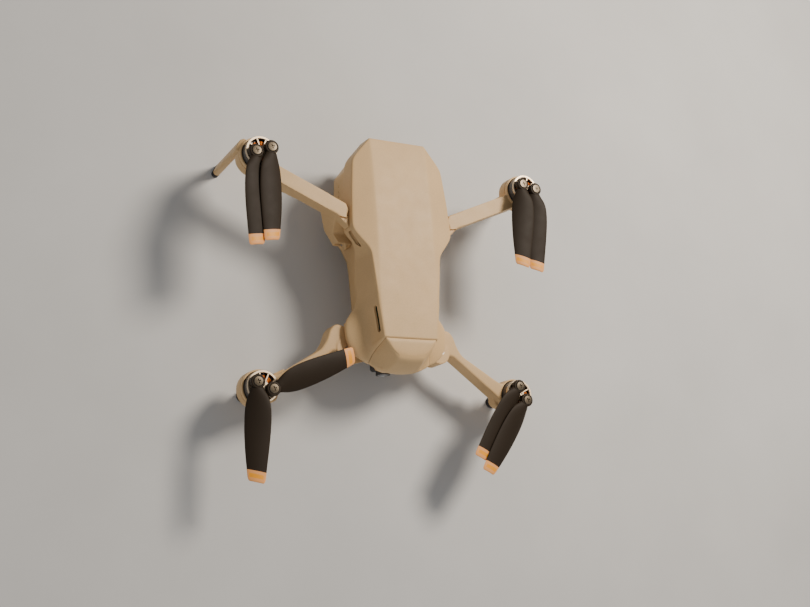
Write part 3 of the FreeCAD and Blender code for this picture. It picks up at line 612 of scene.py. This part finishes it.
def skin_mesh(name, rows, ends):
    """The part of the skin over a range of stations; ends tells whether it has the tail or the nose."""
    grid, left, right, nose, tail, _ = skin_stations()
    index, points, faces = {}, [], []

    def at(key, point):
        if key not in index:
            index[key] = len(points)
            points.append(tuple(point))
        return index[key]

    across = len(grid[0])

    def panel(i, j):
        return at(("p", i, j), grid[i][j])

    def skirt(kind, columns, i, k, edge):
        return edge if k < 0 else at((kind, i, k), columns[i][k])

    deep = len(left[0])
    for i, j in ((i, j) for i in rows[:-1] for j in range(across - 1)):
        faces.append((panel(i, j), panel(i + 1, j), panel(i + 1, j + 1), panel(i, j + 1)))
    for i in rows[:-1]:
        for kind, columns, j in (("l", left, 0), ("r", right, across - 1)):
            for k in range(-1, deep - 1):
                a, b = panel(i, j), panel(i + 1, j)
                faces.append((skirt(kind, columns, i, k, a), skirt(kind, columns, i, k + 1, a),
                              skirt(kind, columns, i + 1, k + 1, b), skirt(kind, columns, i + 1, k, b)))
    end_row, columns, kind = (rows[0], tail, "t") if ends == "tail" else (rows[-1], nose, "n")
    loop = [("l", left, end_row, 0)] + [(kind, columns, j, j + 1) for j in range(across - 2)]
    loop.append(("r", right, end_row, across - 1))
    for (kind_a, col_a, i_a, j_a), (kind_b, col_b, i_b, j_b) in zip(loop, loop[1:]):
        for k in range(-1, deep - 1):
            a, b = panel(end_row, j_a), panel(end_row, j_b)
            faces.append((skirt(kind_a, col_a, i_a, k, a), skirt(kind_a, col_a, i_a, k + 1, a),
                          skirt(kind_b, col_b, i_b, k + 1, b), skirt(kind_b, col_b, i_b, k, b)))
    return mesh_object(name, points, faces)


def sink_seam(piece, seam_points, depth=0.5, back=0.13):
    """Turns the edge of a shell down at the seam, so that two shells meet in a fine groove."""
    work = bmesh.new()
    work.from_mesh(piece.data)
    work.normal_update()
    tree = kdtree.KDTree(len(seam_points))
    for i, p in enumerate(seam_points):
        tree.insert(p, i)
    tree.balance()
    middle = sum((v.co for v in work.verts), Vector()) / len(work.verts)
    moves = []
    for v in work.verts:
        if v.is_boundary and tree.find(v.co)[2] < 0.00005:
            inward = (middle - v.co).normalized()
            away = sum((f.calc_center_median() - v.co for f in v.link_faces), Vector()).normalized()
            normal = v.normal if v.normal.dot(inward) < 0 else -v.normal
            moves.append((v, away * back * MM - normal * depth * MM))
    for v, move in moves:
        v.co += move
    work.to_mesh(piece.data)
    work.free()


def make_body_skin():
    grid, left, right, _, _, seam = skin_stations()
    line = grid[seam] + left[seam] + right[seam]
    seam_points = [Vector((p.x * MM, (p.y + SHIFT) * MM, p.z * MM)) for p in line]
    count = len(grid)
    top = skin_mesh("upper_body", range(0, seam + 1), "tail")
    nose = skin_mesh("nose_cover", range(seam, count), "nose")
    for piece in (top, nose):
        sink_seam(piece, seam_points)
        modify(piece, "SUBSURF", levels=1, render_levels=1)
        modify(piece, "SOLIDIFY", thickness=SKIN_WALL * MM, offset=-1.0, use_even_offset=True)
        bake_modifiers(piece)
    for _, sign in SIDES:
        combine(top, vent_cutter(sign), "DIFFERENCE")
        slot = slab("slot", mirror(NOTCH_SLOT, sign), *NOTCH_SLOT_HEIGHTS, radius=0.4, edge=0)
        combine(top, slot, "DIFFERENCE")
    settle(top, "body", "shell_grey", "shell_grey", "top_shell", sharp=math.radians(50))
    settle(nose, "body", "shell_grey", "shell_grey", "nose_cap", sharp=math.radians(50))


def vent_cutter(sign):
    """A long narrow slot through the side, just under the panel's edge."""
    y0, y1, low, high = VENT
    sections = 10
    points, path = [], []
    half = (high - low) / 2
    for end, start in ((y1 - half, -90), (y0 + half, 90)):
        for k in range(sections + 1):
            a = math.radians(start + 180 * k / sections)
            path.append((end + half * math.cos(a), (low + high) / 2 + half * math.sin(a)))
    n = len(path)
    for x in VENT_CUT_X:
        points += [(sign * x, y, z) for y, z in path]
    faces = [tuple(range(n)), tuple(reversed(range(n, 2 * n)))]
    faces += [(i, (i + 1) % n, n + (i + 1) % n, n + i) for i in range(n)]
    return mesh_object("vent_cutter", points, faces)


# ---- arms ----
MOUNT_TOP, MOUNT_LOW = -5.7, -16.2       # of the motor mount, from the bell's top ring
MOUNT_R = 10.3
CAVITY_R = 9.35
CAVITY_FLOOR = -8.8
MOUNT_CUT_TOP = 30                       # clears everything above the mount
ROOT_LOW, ROOT_TOP = 20.1, 29.95         # of the front arm's root
ROOT_R = 6.6
PIN_HOLE_R = 1.37
FOOT_TOP = 2.9
WALL_FROM_HINGE = 6.95                   # the body's wall beside the rear arm's root
FIN_RISE, FIN_DEEP = 8.0, 6.0            # the fin's top over the top shell's rim, and its depth
FACET_DEEP = 0.7
PLACES = [(end + "_" + side, end, side, sign) for end in ("front", "rear") for side, sign in SIDES]


def motor_top(place):
    """Centre of a bell's top ring: the spin joint stands there."""
    return pivot(place + "_motor_spin")


def mirror(points, sign):
    """Plan points on the left side, or the right side when sign is -1."""
    return [(sign * p[0], *p[1:]) for p in points]


def melt(name, pieces, voxel=0.42, passes=5, keep=0.3):
    """One moulded solid with small soft fillets, from overlapping solids."""
    piece = join(name, pieces)
    modify(piece, "REMESH", mode="VOXEL", voxel_size=voxel * MM)
    modify(piece, "SMOOTH", factor=0.5, iterations=passes)
    modify(piece, "DECIMATE", ratio=keep)
    bake_modifiers(piece)
    return piece


def disc(name, radius, centre, low, high, count=64):
    """A plain upright cylinder."""
    return lathe(name, [(0, low), (radius, low), (radius, high), (0, high)], centre, count)


def level(start, end, z_start, z_end):
    """A height that changes evenly from start to end in plan."""
    along = Vector(end[:2]) - Vector(start[:2])
    long = along.length_squared

    def at(x, y):
        t = (Vector((x, y)) - Vector(start[:2])).dot(along) / long
        return z_start + (z_end - z_start) * min(1.15, max(-0.15, t))
    return at


def mount_cup(place):
    """The light ring that the bell sinks into, with two turned grooves."""
    r, low, top = MOUNT_R, MOUNT_LOW, MOUNT_TOP
    groove = 0.35
    profile = [
        (0, CAVITY_FLOOR), (CAVITY_R, CAVITY_FLOOR), (CAVITY_R, top - 0.2), (CAVITY_R + 0.2, top),
        (r - 0.3, top), (r, top - 0.3), (r, -8.0), (r - groove, -8.15), (r - groove, -8.5), (r, -8.65),
        (r + 0.15, -11.0), (r + 0.15, low + 2.2), (r - 0.2, low + 1.2), (r - 1.0, low + 0.35), (r - 2.2, low),
        (3.2, low), (3.0, low + 0.5), (0, low + 0.5),
    ]
    return lathe("motor_mount_" + place, profile, motor_top(place), 96)


def make_front_arm(side, sign):
    """A bent flat arm with a round root, a foot's stalk and a toe under the motor."""
    place, node = "front_" + side, "front_arm_" + side
    hinge, top = pivot(node + "_fold"), motor_top(place)
    hx, hy, mx, my = abs(hinge.x), hinge.y, abs(top.x), top.y
    rim = top.z + MOUNT_TOP
    low_box, high_box = corners(node)
    outline = mirror([
        (hx - 4.5, hy + 4.5), (hx + 1.5, hy + 13.5, 3), (hx + 6.8, hy + 14.2, 3), (hx + 10.4, hy + 10.6, 4),
        (hx + 12.4, hy + 4.5, 5), (hx + 15.8, hy - 0.8, 5), (mx - 9.5, my + 6.9, 3), (mx - 1.0, my + 9.0, 2),
        (mx, my, 2), (mx - 7.2, my - 7.0, 3), (mx - 12.5, my - 1.4, 4), (hx + 7.6, hy - 0.4, 5),
        (hx + 2.6, hy - 5.6, 3), (hx - 4.5, hy - 4.5, 3),
    ], sign)
    start, end = (sign * hx, hy), (sign * mx, my)
    beam = slab("beam", outline, level(start, end, ROOT_LOW - 0.8, rim - 10.0),
                level(start, end, ROOT_TOP - 0.2, rim + 0.1), edge=0.9)
    hub = disc("hub", ROOT_R, (sign * hx, hy, 0), ROOT_LOW, ROOT_TOP)
    stalk = lathe("stalk", [
        (0, FOOT_TOP), (3.5, FOOT_TOP), (3.6, FOOT_TOP + 0.5), (4.6, rim - 12.0), (6.4, rim - 9.6),
        (8.2, rim - 8.6), (0, rim - 8.6)], (top.x, top.y, 0))
    toe = slab("toe", mirror([(mx - 17.0, my + 12.5), (mx - 9.0, my + 8.5), (mx - 6.0, my - 8.0),
                              (mx - 11.5, my - 6.0)], sign), rim - 10.6, rim - 4.0, radius=2.0, edge=0.8)
    arm = melt("arm_" + place, [beam, hub, stalk, toe])
    combine(arm, disc("cut", MOUNT_R, top, MOUNT_LOW + 0.1, MOUNT_CUT_TOP, 96), "DIFFERENCE")
    combine(arm, disc("cut", PIN_HOLE_R, (sign * hx, hy, 0), 0, 60, 32), "DIFFERENCE")
    combine(arm, boxed("cut", low_box.x - 5, high_box.x + 5, low_box.y - 9, high_box.y + 9, ROOT_TOP, 60, 0),
            "DIFFERENCE")
    settle(arm, node, "arm_grey", "arm_grey", node)
    settle(mount_cup(place), node, "arm_grey", "arm_grey")


def copy_node(node, name):
    """A new piece from a CAD node's mesh, with its facets joined up."""
    mesh = frame["nodes"][node].data.copy()
    piece = bpy.data.objects.new(name, mesh)
    bpy.context.scene.collection.objects.link(piece)
    work = bmesh.new()
    work.from_mesh(mesh)
    bmesh.ops.remove_doubles(work, verts=work.verts, dist=0.000001)
    bmesh.ops.dissolve_limit(work, angle_limit=math.radians(1.0), verts=work.verts, edges=work.edges)
    work.to_mesh(mesh)
    work.free()
    mesh.materials.clear()
    for attribute in [a.name for a in mesh.attributes if a.name == "custom_normal"]:
        mesh.attributes.remove(mesh.attributes[attribute])
    return piece


def make_rear_arm(side, sign):
    """The CAD arm with soft fillets, and a pointed fin with a sunk facet beside the body."""
    place, node = "rear_" + side, "rear_arm_" + side
    top, hinge = motor_top(place), pivot(node + "_fold")
    x, y = abs(hinge.x) + WALL_FROM_HINGE, hinge.y
    top_z = corners("top_shell")[0].z + FIN_RISE
    fin = slab("fin", mirror([(x + 7.5, y + 9.3), (x, y + 8.5), (x, y + 2.2)], sign), top_z - FIN_DEEP, top_z,
               radius=0.3, edge=0.3)
    arm = melt("arm_" + place, [copy_node(node, "arm_" + place), fin])
    facet = slab("facet", mirror([(x + 6.2, y + 8.4), (x + 0.9, y + 7.7), (x + 3.0, y + 5.6)], sign),
                 top_z - FACET_DEEP, top_z + 3.0, radius=0.1, edge=0)
    combine(arm, facet, "DIFFERENCE")
    combine(arm, disc("cut", MOUNT_R, top, MOUNT_LOW + 0.1, MOUNT_CUT_TOP, 96), "DIFFERENCE")
    settle(arm, node, "arm_grey", "arm_grey", node)
    settle(mount_cup(place), node, "arm_grey", "arm_grey")


# ---- motors ----
POLES, SPOKES = 9, 9
POLE_TURN = 8                            # degrees, of poles and of spokes
COIL_Z = -3.2
CORE_IN, SHOE_OUT = 0.82, 7.5


def make_stator(place, body):
    """Wound coils on every pole, and the steel core with its pole shoes."""
    top = motor_top(place)
    coil_in, coil_out, turns = 3.5, 6.3, 8
    rings, sides = turns * 4, 14
    points, faces = [], []
    for pole in range(POLES):
        a = 2 * math.pi * pole / POLES + math.radians(POLE_TURN)
        out, across = Vector((math.cos(a), math.sin(a), 0)), Vector((-math.sin(a), math.cos(a), 0))
        base = len(points)
        for i in range(rings + 1):
            t = i / rings
            swell = abs(math.sin(math.pi * turns * t)) * 0.16
            grow = 0.55 + 0.55 * t if 0 < i < rings else 0.2 + 0.5 * t
            for k in range(sides):
                b = 2 * math.pi * k / sides
                wide = (0.75 + grow * 0.75 + swell) * math.copysign(abs(math.cos(b)) ** 0.6, math.cos(b))
                high = (1.5 + 0.35 * grow + swell) * math.copysign(abs(math.sin(b)) ** 0.6, math.sin(b))
                p = top + out * (coil_in + (coil_out - coil_in) * t) + across * wide
                points.append((p.x, p.y, top.z + COIL_Z + high))
        for i in range(rings):
            for k in range(sides):
                j = (k + 1) % sides
                faces.append((base + i * sides + k, base + i * sides + j,
                              base + (i + 1) * sides + j, base + (i + 1) * sides + k))
        faces.append(tuple(base + k for k in reversed(range(sides))))
        faces.append(tuple(base + rings * sides + k for k in range(sides)))
    coils = mesh_object("coils_" + place, points, faces)
    settle(coils, body, "stator", "stator")
    profile = [(CORE_IN, -8.7), (3.3, -8.7), (3.3, -3.0), (2.6, -2.4), (CORE_IN, -2.4)]
    parts = [lathe("core", profile, top, 48)]
    for pole in range(POLES):
        a = 360.0 * pole / POLES + POLE_TURN
        parts.append(curved_shoe(top, a, coil_out, SHOE_OUT, 14.0, -6.4, -2.6))
    core = join("stator_core_" + place, parts)
    settle(core, body, "stator", "core_steel", "stator_" + place)


def curved_shoe(top, angle, inner, outer, half_turn, low, high):
    """A block between two radii, over half_turn degrees each side of angle."""
    points, steps = [], 6
    for z in (low, high):
        for r in (inner, outer):
            for k in range(steps + 1):
                a = math.radians(angle - half_turn + 2 * half_turn * k / steps)
                points.append((top.x + r * math.cos(a), top.y + r * math.sin(a), top.z + z))
    n = steps + 1
    faces = []
    for k in range(steps):
        faces.append((k, k + 1, n + k + 1, n + k))
        faces.append((2 * n + k, 3 * n + k, 3 * n + k + 1, 2 * n + k + 1))
        faces.append((k, 2 * n + k, 2 * n + k + 1, k + 1))
        faces.append((n + k, n + k + 1, 3 * n + k + 1, 3 * n + k))
    faces.append((0, n, 3 * n, 2 * n))
    faces.append((n - 1, 3 * n - 1, 4 * n - 1, 2 * n - 1))
    piece = mesh_object("shoe", points, faces)
    soften(piece, 0.15, 1)
    return piece


# The bell's turn, how far each blade swings from straight out, and which way the propeller turns.
ROTORS = {
    "front_left": (-61.0, -65.0, 115.0, -1),
    "front_right": (-23.0, 46.0, 111.0, 1),
    "rear_left": (-13.0, -81.0, 98.0, 1),
    "rear_right": (20.3, -111.3, 69.0, -1),
}
BELL_R = 9.0
RING_R, RING_IN = 8.95, 8.3              # the bell's top ring
HUB_R = 3.3
PIVOT_OFFSET = 4.8                       # of a blade's screw from the motor's axis
BOSS_LOW, BOSS_HIGH = 1.3, 4.5
BOSS_R = 4.0


def make_bell(place, body):
    """The black wall, and the bright top: ring, spokes, hub, the blades' bar and the shaft's cap."""
    top, turn = motor_top(place), ROTORS[place][0]
    wall = lathe("bell_wall_" + place, [
        (8.35, -8.0), (8.85, -8.0), (BELL_R, -7.85), (BELL_R, -1.75), (8.85, -1.6), (8.35, -1.6)], top, 96)
    settle(wall, body, "bell_metal", "bell_black", "rotor_bell_" + place)
    ring = lathe("ring", [
        (RING_IN, -1.55), (RING_R, -1.55), (BELL_R, -1.5), (BELL_R, -0.3), (8.75, 0.0), (7.75, 0.0),
        (7.5, -0.2), (7.5, -0.75), (7.8, -0.9), (RING_IN, -1.0)], top, 96)
    hub = lathe("hub", [
        (0, -1.4), (3.1, -1.4), (HUB_R, -1.2), (HUB_R, -0.1), (3.0, 0.15), (0, 0.15)], top, 48)
    parts = [ring, hub]
    for i in range(SPOKES):
        spoke = boxed("spoke", 3.0, 7.8, -0.42, 0.42, -0.95, -0.15, 0.12, 1)
        turn_piece(spoke, turn + 360.0 * i / SPOKES + POLE_TURN, top)
        parts.append(spoke)
    end = PIVOT_OFFSET
    quarter = [(end + 2.6, 0.0), (end + 1.6, 2.3), (end - 1.2, 2.5), (1.6, 1.7)]
    half = quarter + [(-x, y) for x, y in reversed(quarter)]
    outline = half + [(x, -y) for x, y in reversed(half[1:-1])]
    bar = slab("bar", outline, -0.1, BOSS_LOW - 0.12, radius=1.2, edge=0.25)
    turn_piece(bar, turn, top)
    parts.append(bar)
    parts.append(lathe("shaft_cap", [
        (0, 0.9), (1.35, 0.9), (1.35, 1.7), (1.1, 1.95), (0.55, 1.95), (0.45, 1.6), (0, 1.6)], top, 32))
    bright = join("bell_top_" + place, parts)
    settle(bright, body, "bell_metal", "bell_metal")


def turn_piece(piece, degrees, place):
    """Turns a piece that was made about x = y = z = 0 and puts it at a place."""
    back = Matrix.Translation((0, -SHIFT * MM, 0))
    spin = Matrix.Rotation(math.radians(degrees), 4, "Z")
    there = Matrix.Translation(((place[0]) * MM, (place[1] + SHIFT) * MM, place[2] * MM))
    piece.data.transform(there @ spin @ back)


def blade_pivot(place, which):
    """Where a blade's screw stands."""
    top, turn = motor_top(place), ROTORS[place][0]
    a = math.radians(turn + (180 if which == "b" else 0))
    return Vector((top.x + PIVOT_OFFSET * math.cos(a), top.y + PIVOT_OFFSET * math.sin(a), top.z))


# Distance from the screw, chord, pitch in degrees, thickness, sweep of the middle line.
BLADE_SHAPE = [
    (2.6, 6.4, 8.0, 2.4, 0.0), (4.6, 7.8, 12.0, 2.2, 0.1), (6.6, 10.0, 16.5, 2.0, 0.3),
    (9.0, 12.2, 19.0, 1.8, 0.45), (12.5, 13.9, 19.0, 1.6, 0.5), (17.5, 14.8, 17.0, 1.45, 0.5),
    (24.0, 14.8, 14.8, 1.3, 0.4),
    (31.0, 14.1, 12.8, 1.2, 0.25), (38.0, 12.9, 11.2, 1.1, 0.1), (44.0, 11.6, 10.0, 1.0, 0.0),
    (48.0, 10.7, 9.4, 0.95, 0.0), (48.9, 10.5, 9.2, 0.95, 0.0), (51.6, 9.9, 8.9, 0.9, 0.0),
    (52.7, 9.2, 8.7, 0.85, 0.0), (53.4, 7.6, 8.6, 0.6, 0.0),
]
TIP_START = 10                            # rows from here on are the painted tip
TIP_PANEL = (11, 12)                      # between these rows the tip is brighter
TIP_SLANT = -0.2
SLANT_START, SLANT_LONG = 36.0, 11.0
CAMBER = 0.055
BLADE_LIFT = (BOSS_LOW + BOSS_HIGH) / 2 + 0.1
SEAT_R = 2.95                             # of the screw's seat in the boss
CHORD_CUTS = [0.0, 0.03, 0.1, 0.22, 0.38, 0.55, 0.72, 0.86, 0.95, 1.0]


def blade_points(handed):
    """Rings of points along a blade: in each ring the upper side, then the lower side, across the chord."""
    points = []
    for at, chord, pitch, thick, sweep in BLADE_SHAPE:
        c, s = math.cos(math.radians(pitch)), math.sin(math.radians(pitch))
        lean = TIP_SLANT * max(0.0, min(1.0, (at - SLANT_START) / SLANT_LONG))
        for side in (1, -1):
            for u in CHORD_CUTS:
                y = (u - 0.5) * chord + sweep
                arch = 4 * u * (1 - u)
                z = side * thick * 0.5 * math.sqrt(arch) + CAMBER * chord * arch
                points.append((at - lean * y, handed * (y * c - z * s), y * s + z * c + BLADE_LIFT))
    return points


def blade_faces():
    """The faces between the rings and over both ends, each with the number of its material."""
    count = len(CHORD_CUTS)
    faces, marks = [], []
    for row in range(len(BLADE_SHAPE) - 1):
        for lower in (0, 1):
            for k in range(count - 1):
                a = row * 2 * count + lower * count + k
                b = a + 2 * count
                faces.append((a, b, b + 1, a + 1) if lower else (a, a + 1, b + 1, b))
                tip = row >= TIP_START
                panel = tip and TIP_PANEL[0] <= row < TIP_PANEL[1] and 1 < k < count - 3
                marks.append(2 if panel else 1 if tip else 0)
    for base in (0, (len(BLADE_SHAPE) - 1) * 2 * count):
        for k in range(count - 1):
            quad = (base + k, base + k + 1, base + count + k + 1, base + count + k)
            faces.append(quad if base == 0 else tuple(reversed(quad)))
            marks.append(1 if base else 0)
    return faces, marks


def make_blade(place, which):
    """One propeller blade with its screw boss, turned to its place at rest."""
    turn, swing_a, swing_b, handed = ROTORS[place]
    angle = turn + (180 + swing_b if which == "b" else swing_a)
    faces, marks = blade_faces()
    body = "blade_" + which + "_" + place
    vane = mesh_object(body, blade_points(handed), faces)
    for name in ("blade_dark", "tip_orange", "tip_bright"):
        vane.data.materials.append(MATERIALS[name])
    for polygon, mark in zip(vane.data.polygons, marks):
        polygon.material_index = mark
    work = bmesh.new()
    work.from_mesh(vane.data)
    bmesh.ops.remove_doubles(work, verts=work.verts, dist=0.00001)
    bmesh.ops.recalc_face_normals(work, faces=work.faces)
    work.to_mesh(vane.data)
    work.free()
    modify(vane, "SUBSURF", levels=1, render_levels=1)
    bake_modifiers(vane)
    r, low, high = BOSS_R, BOSS_LOW, BOSS_HIGH
    boss = lathe("boss", [
        (1.1, low), (r - 0.3, low), (r, low + 0.3), (r, high - 0.5), (r - 0.15, high - 0.15), (r - 0.5, high),
        (SEAT_R, high), (SEAT_R, high - 0.55), (1.1, high - 0.55)], (0, 0, 0), 48)
    paint(boss, "blade_dark")
    combine(vane, boss, "UNION")
    turn_piece(vane, angle, blade_pivot(place, which))
    vane.name = "vane_" + which + "_" + place
    settle(vane, body, "blade_dark", None, body, sharp=math.radians(45))


def make_blade_screws(place, body):
    """Both blades' screw heads, each with a cross."""
    heads = []
    for which in ("a", "b"):
        at = blade_pivot(place, which)
        seat = BOSS_HIGH - 0.5
        head = lathe("head", [
            (0, seat), (2.55, seat), (2.7, seat + 0.12), (2.7, seat + 0.75), (2.45, seat + 1.02),
            (1.4, seat + 1.12), (0, seat + 1.14)], at, 48)
        for turn in (20, 110):
            slot_cut = boxed("cut", -1.25, 1.25, -0.3, 0.3, seat + 0.45, seat + 2.0, 0)
            turn_piece(slot_cut, turn, at)
            combine(head, slot_cut, "DIFFERENCE")
        heads.append(head)
    screws = join("propeller_screws_" + place, heads)
    settle(screws, body, "screw_black", "screw_dark", "blade_screws_" + place)


def make_arms_and_rotors():
    for side, sign in SIDES:
        make_front_arm(side, sign)
        make_rear_arm(side, sign)
    for place, end, side, _ in PLACES:
        make_stator(place, end + "_arm_" + side)
        make_bell(place, "rotor_" + place)
        make_blade(place, "a")
        make_blade(place, "b")
        make_blade_screws(place, "rotor_" + place)


# ---- lower body, door, gimbal, feet and the pieces inside ----
# CAD nodes that keep their shape: how far their sharp edges are broken, in millimetres.
BROKEN_EDGES = {
    "lower_shell": 0.45, "belly_plate": 0.3, "battery_door": 0.35, "battery": 0.5, "gimbal_plate": 0.2,
    "gimbal_yaw_arm": 0.35, "gimbal_roll_arm": 0.35, "camera_body": 0.4, "power_button": 0.2,
    "front_foot_left": 0.6, "front_foot_right": 0.6, "rear_foot_left": 0.5, "rear_foot_right": 0.5,
    "usb_port": 0.2, "memory_card_slot": 0.15, "infrared_window": 0.15, "shell_screws": 0.1,
    "heat_sink": 0.1, "main_board": 0.1, "fan_rotor": 0.15, "gps_antenna": 0.3, "inner_frame": 0.15,
    "battery_contacts": 0.2,
}
BELLY_GROOVES = [(-11.0, 11.0, y, y + 1.5) for y in range(8, 40, 4)]      # from x to x, from y to y
BELLY_LINES = [(x, x + 0.7, 4.0, 62.0) for x in (-16.0, 15.3)]
GROOVE_DEEP, LINE_DEEP = 0.45, 0.3
GRIPS, GRIP_STEP, GRIP_HALF = 5, 1.5, 7.0
SIDE_SLOTS, SIDE_SLOT_STEP, SIDE_SLOT_Y = 6, 3.2, 42.0
SIDE_SLOT_Z = (20.0, 20.5)
VISION_R = 2.7


def body_of(node):
    """The moving body that a CAD node belongs to."""
    return [name for name, empty in frame["bodies"].items() if frame["nodes"][node].parent is empty][0]


def groove_cuts(node):
    """Boxes to cut from a node's copy: grooves, slots and finger grips."""
    low, high = corners(node)
    middle = (low + high) / 2
    cuts = []
    if node == "belly_plate":
        cuts += [(*groove, low.z - 1, low.z + GROOVE_DEEP) for groove in BELLY_GROOVES]
        cuts += [(*line, low.z - 1, low.z + LINE_DEEP) for line in BELLY_LINES]
    if node == "battery_door":
        for i in range(GRIPS):
            z = middle.z - 3.2 + GRIP_STEP * i
            cuts.append((-GRIP_HALF, GRIP_HALF, high.y - 0.5, high.y + 1, z, z + 0.7))
    if node == "lower_shell":
        for _, sign in SIDES:
            for i in range(SIDE_SLOTS):
                y = SIDE_SLOT_Y + SIDE_SLOT_STEP * i
                cuts.append((sign * 24.0, sign * 40.0, y, y + 1.4, *SIDE_SLOT_Z))
    if node.startswith(("front_foot", "rear_foot")):
        for z in (low.z + 0.9, low.z + 1.7):
            for x0, x1 in ((low.x - 1, low.x + 0.25), (high.x - 0.25, high.x + 1)):
                cuts.append((x0, x1, middle.y - 6, middle.y + 6, z, z + 0.3))
    return cuts


def make_plain_pieces():
    """Copies of CAD nodes with broken edges and their small grooves."""
    for node, width in BROKEN_EDGES.items():
        piece = copy_node(node, node + "_piece")
        for x0, x1, y0, y1, z0, z1 in groove_cuts(node):
            combine(piece, boxed("cut", min(x0, x1), max(x0, x1), y0, y1, z0, z1, 0), "DIFFERENCE")
        soften(piece, width, 2)
        slot = [s["material_slot"] for s in frame["record"]["subparts"] if s["node"] == node][0]
        settle(piece, body_of(node), slot, slot, node)


def make_lenses():
    """The camera's domed glass and ring, and a bezel round each lens in the belly."""
    low, high = corners("camera_lens")
    centre = ((low.x + high.x) / 2, high.y, (low.z + high.z) / 2)
    r = (high.x - low.x) / 2
    forwards = (0, -1, 0)
    body = body_of("camera_lens")
    dome = lathe("camera_glass", [
        (0, 0), (r, 0), (r, 0.5), (r * 0.85, 0.78), (r * 0.5, 0.98), (0, 1.05)], centre, 48, forwards)
    settle(dome, body, "lens_glass", "lens_glass", "camera_lens")
    ring = lathe("camera_lens_ring", [
        (r - 0.5, 0.8), (r - 0.05, 0.8), (r - 0.05, 1.25), (r - 0.2, 1.4), (r - 0.5, 1.15)],
        centre, 48, forwards)
    settle(ring, body, "lens_glass", "steel")
    low, high = corners("vision_lenses")
    for side, x in (("left", high.x - VISION_R), ("right", low.x + VISION_R)):
        bezel = lathe("vision_bezel_" + side, [
            (2.75, 0.0), (2.75, -0.25), (3.0, -0.4), (3.5, -0.3), (3.6, 0.0)],
            (x, (low.y + high.y) / 2, low.z), 48)
        settle(bezel, "body", "gimbal_black", "gimbal_black")


# ---- camera, light and floor ----
def make_camera():
    """A camera above and to the right of the nose, looking down at the whole aircraft."""
    data = bpy.data.cameras.new("camera")
    data.lens = 47.25
    data.sensor_width = 36.0
    data.clip_start = 0.01
    camera = bpy.data.objects.new("camera", data)
    camera.location = (-0.29016, -0.14547, 0.56456)
    camera.rotation_euler = Euler([math.radians(a) for a in (15.589, -28.351, -3.646)])
    bpy.context.scene.collection.objects.link(camera)
    bpy.context.scene.camera = camera


def soft_light(name, place, size, power, colour):
    """A round area light that looks at the origin."""
    data = bpy.data.lights.new(name, "AREA")
    data.shape = "DISK"
    data.size = size
    data.energy = power
    data.color = colour
    light = bpy.data.objects.new(name, data)
    light.location = place
    light.rotation_euler = (-Vector(place)).to_track_quat("-Z", "Y").to_euler()
    bpy.context.scene.collection.objects.link(light)


def make_studio():
    """Three soft lights, a grey world and a plain pale floor."""
    soft_light("key", (0.42, 0.36, 0.70), 0.30, 9.0, (1.0, 0.90, 0.78))
    soft_light("fill", (-0.8, -0.4, 0.5), 0.9, 0.8, (0.96, 0.97, 1.0))
    soft_light("front", (0.1, -0.9, 0.35), 0.7, 1.4, (1.0, 0.97, 0.93))
    world = bpy.data.worlds.new("studio")
    world.use_nodes = True
    world.node_tree.nodes["Background"].inputs["Color"].default_value = (0.84, 0.84, 0.85, 1.0)
    world.node_tree.nodes["Background"].inputs["Strength"].default_value = 0.27
    bpy.context.scene.world = world
    bpy.ops.mesh.primitive_plane_add(size=8.0, location=(0, 0, 0))
    floor = bpy.context.object
    floor.name = "floor"
    n = Nodes("floor")
    tint = n.ramp(n.noise(9.0, 5.0), [(0.3, (0.60, 0.60, 0.59)), (0.7, (0.66, 0.66, 0.65))])
    floor.data.materials.append(n.set(Base_Color=tint, Roughness=0.8))


make_camera()
make_studio()
dress_nodes()
make_body_skin()
make_arms_and_rotors()
make_plain_pieces()
make_lenses()
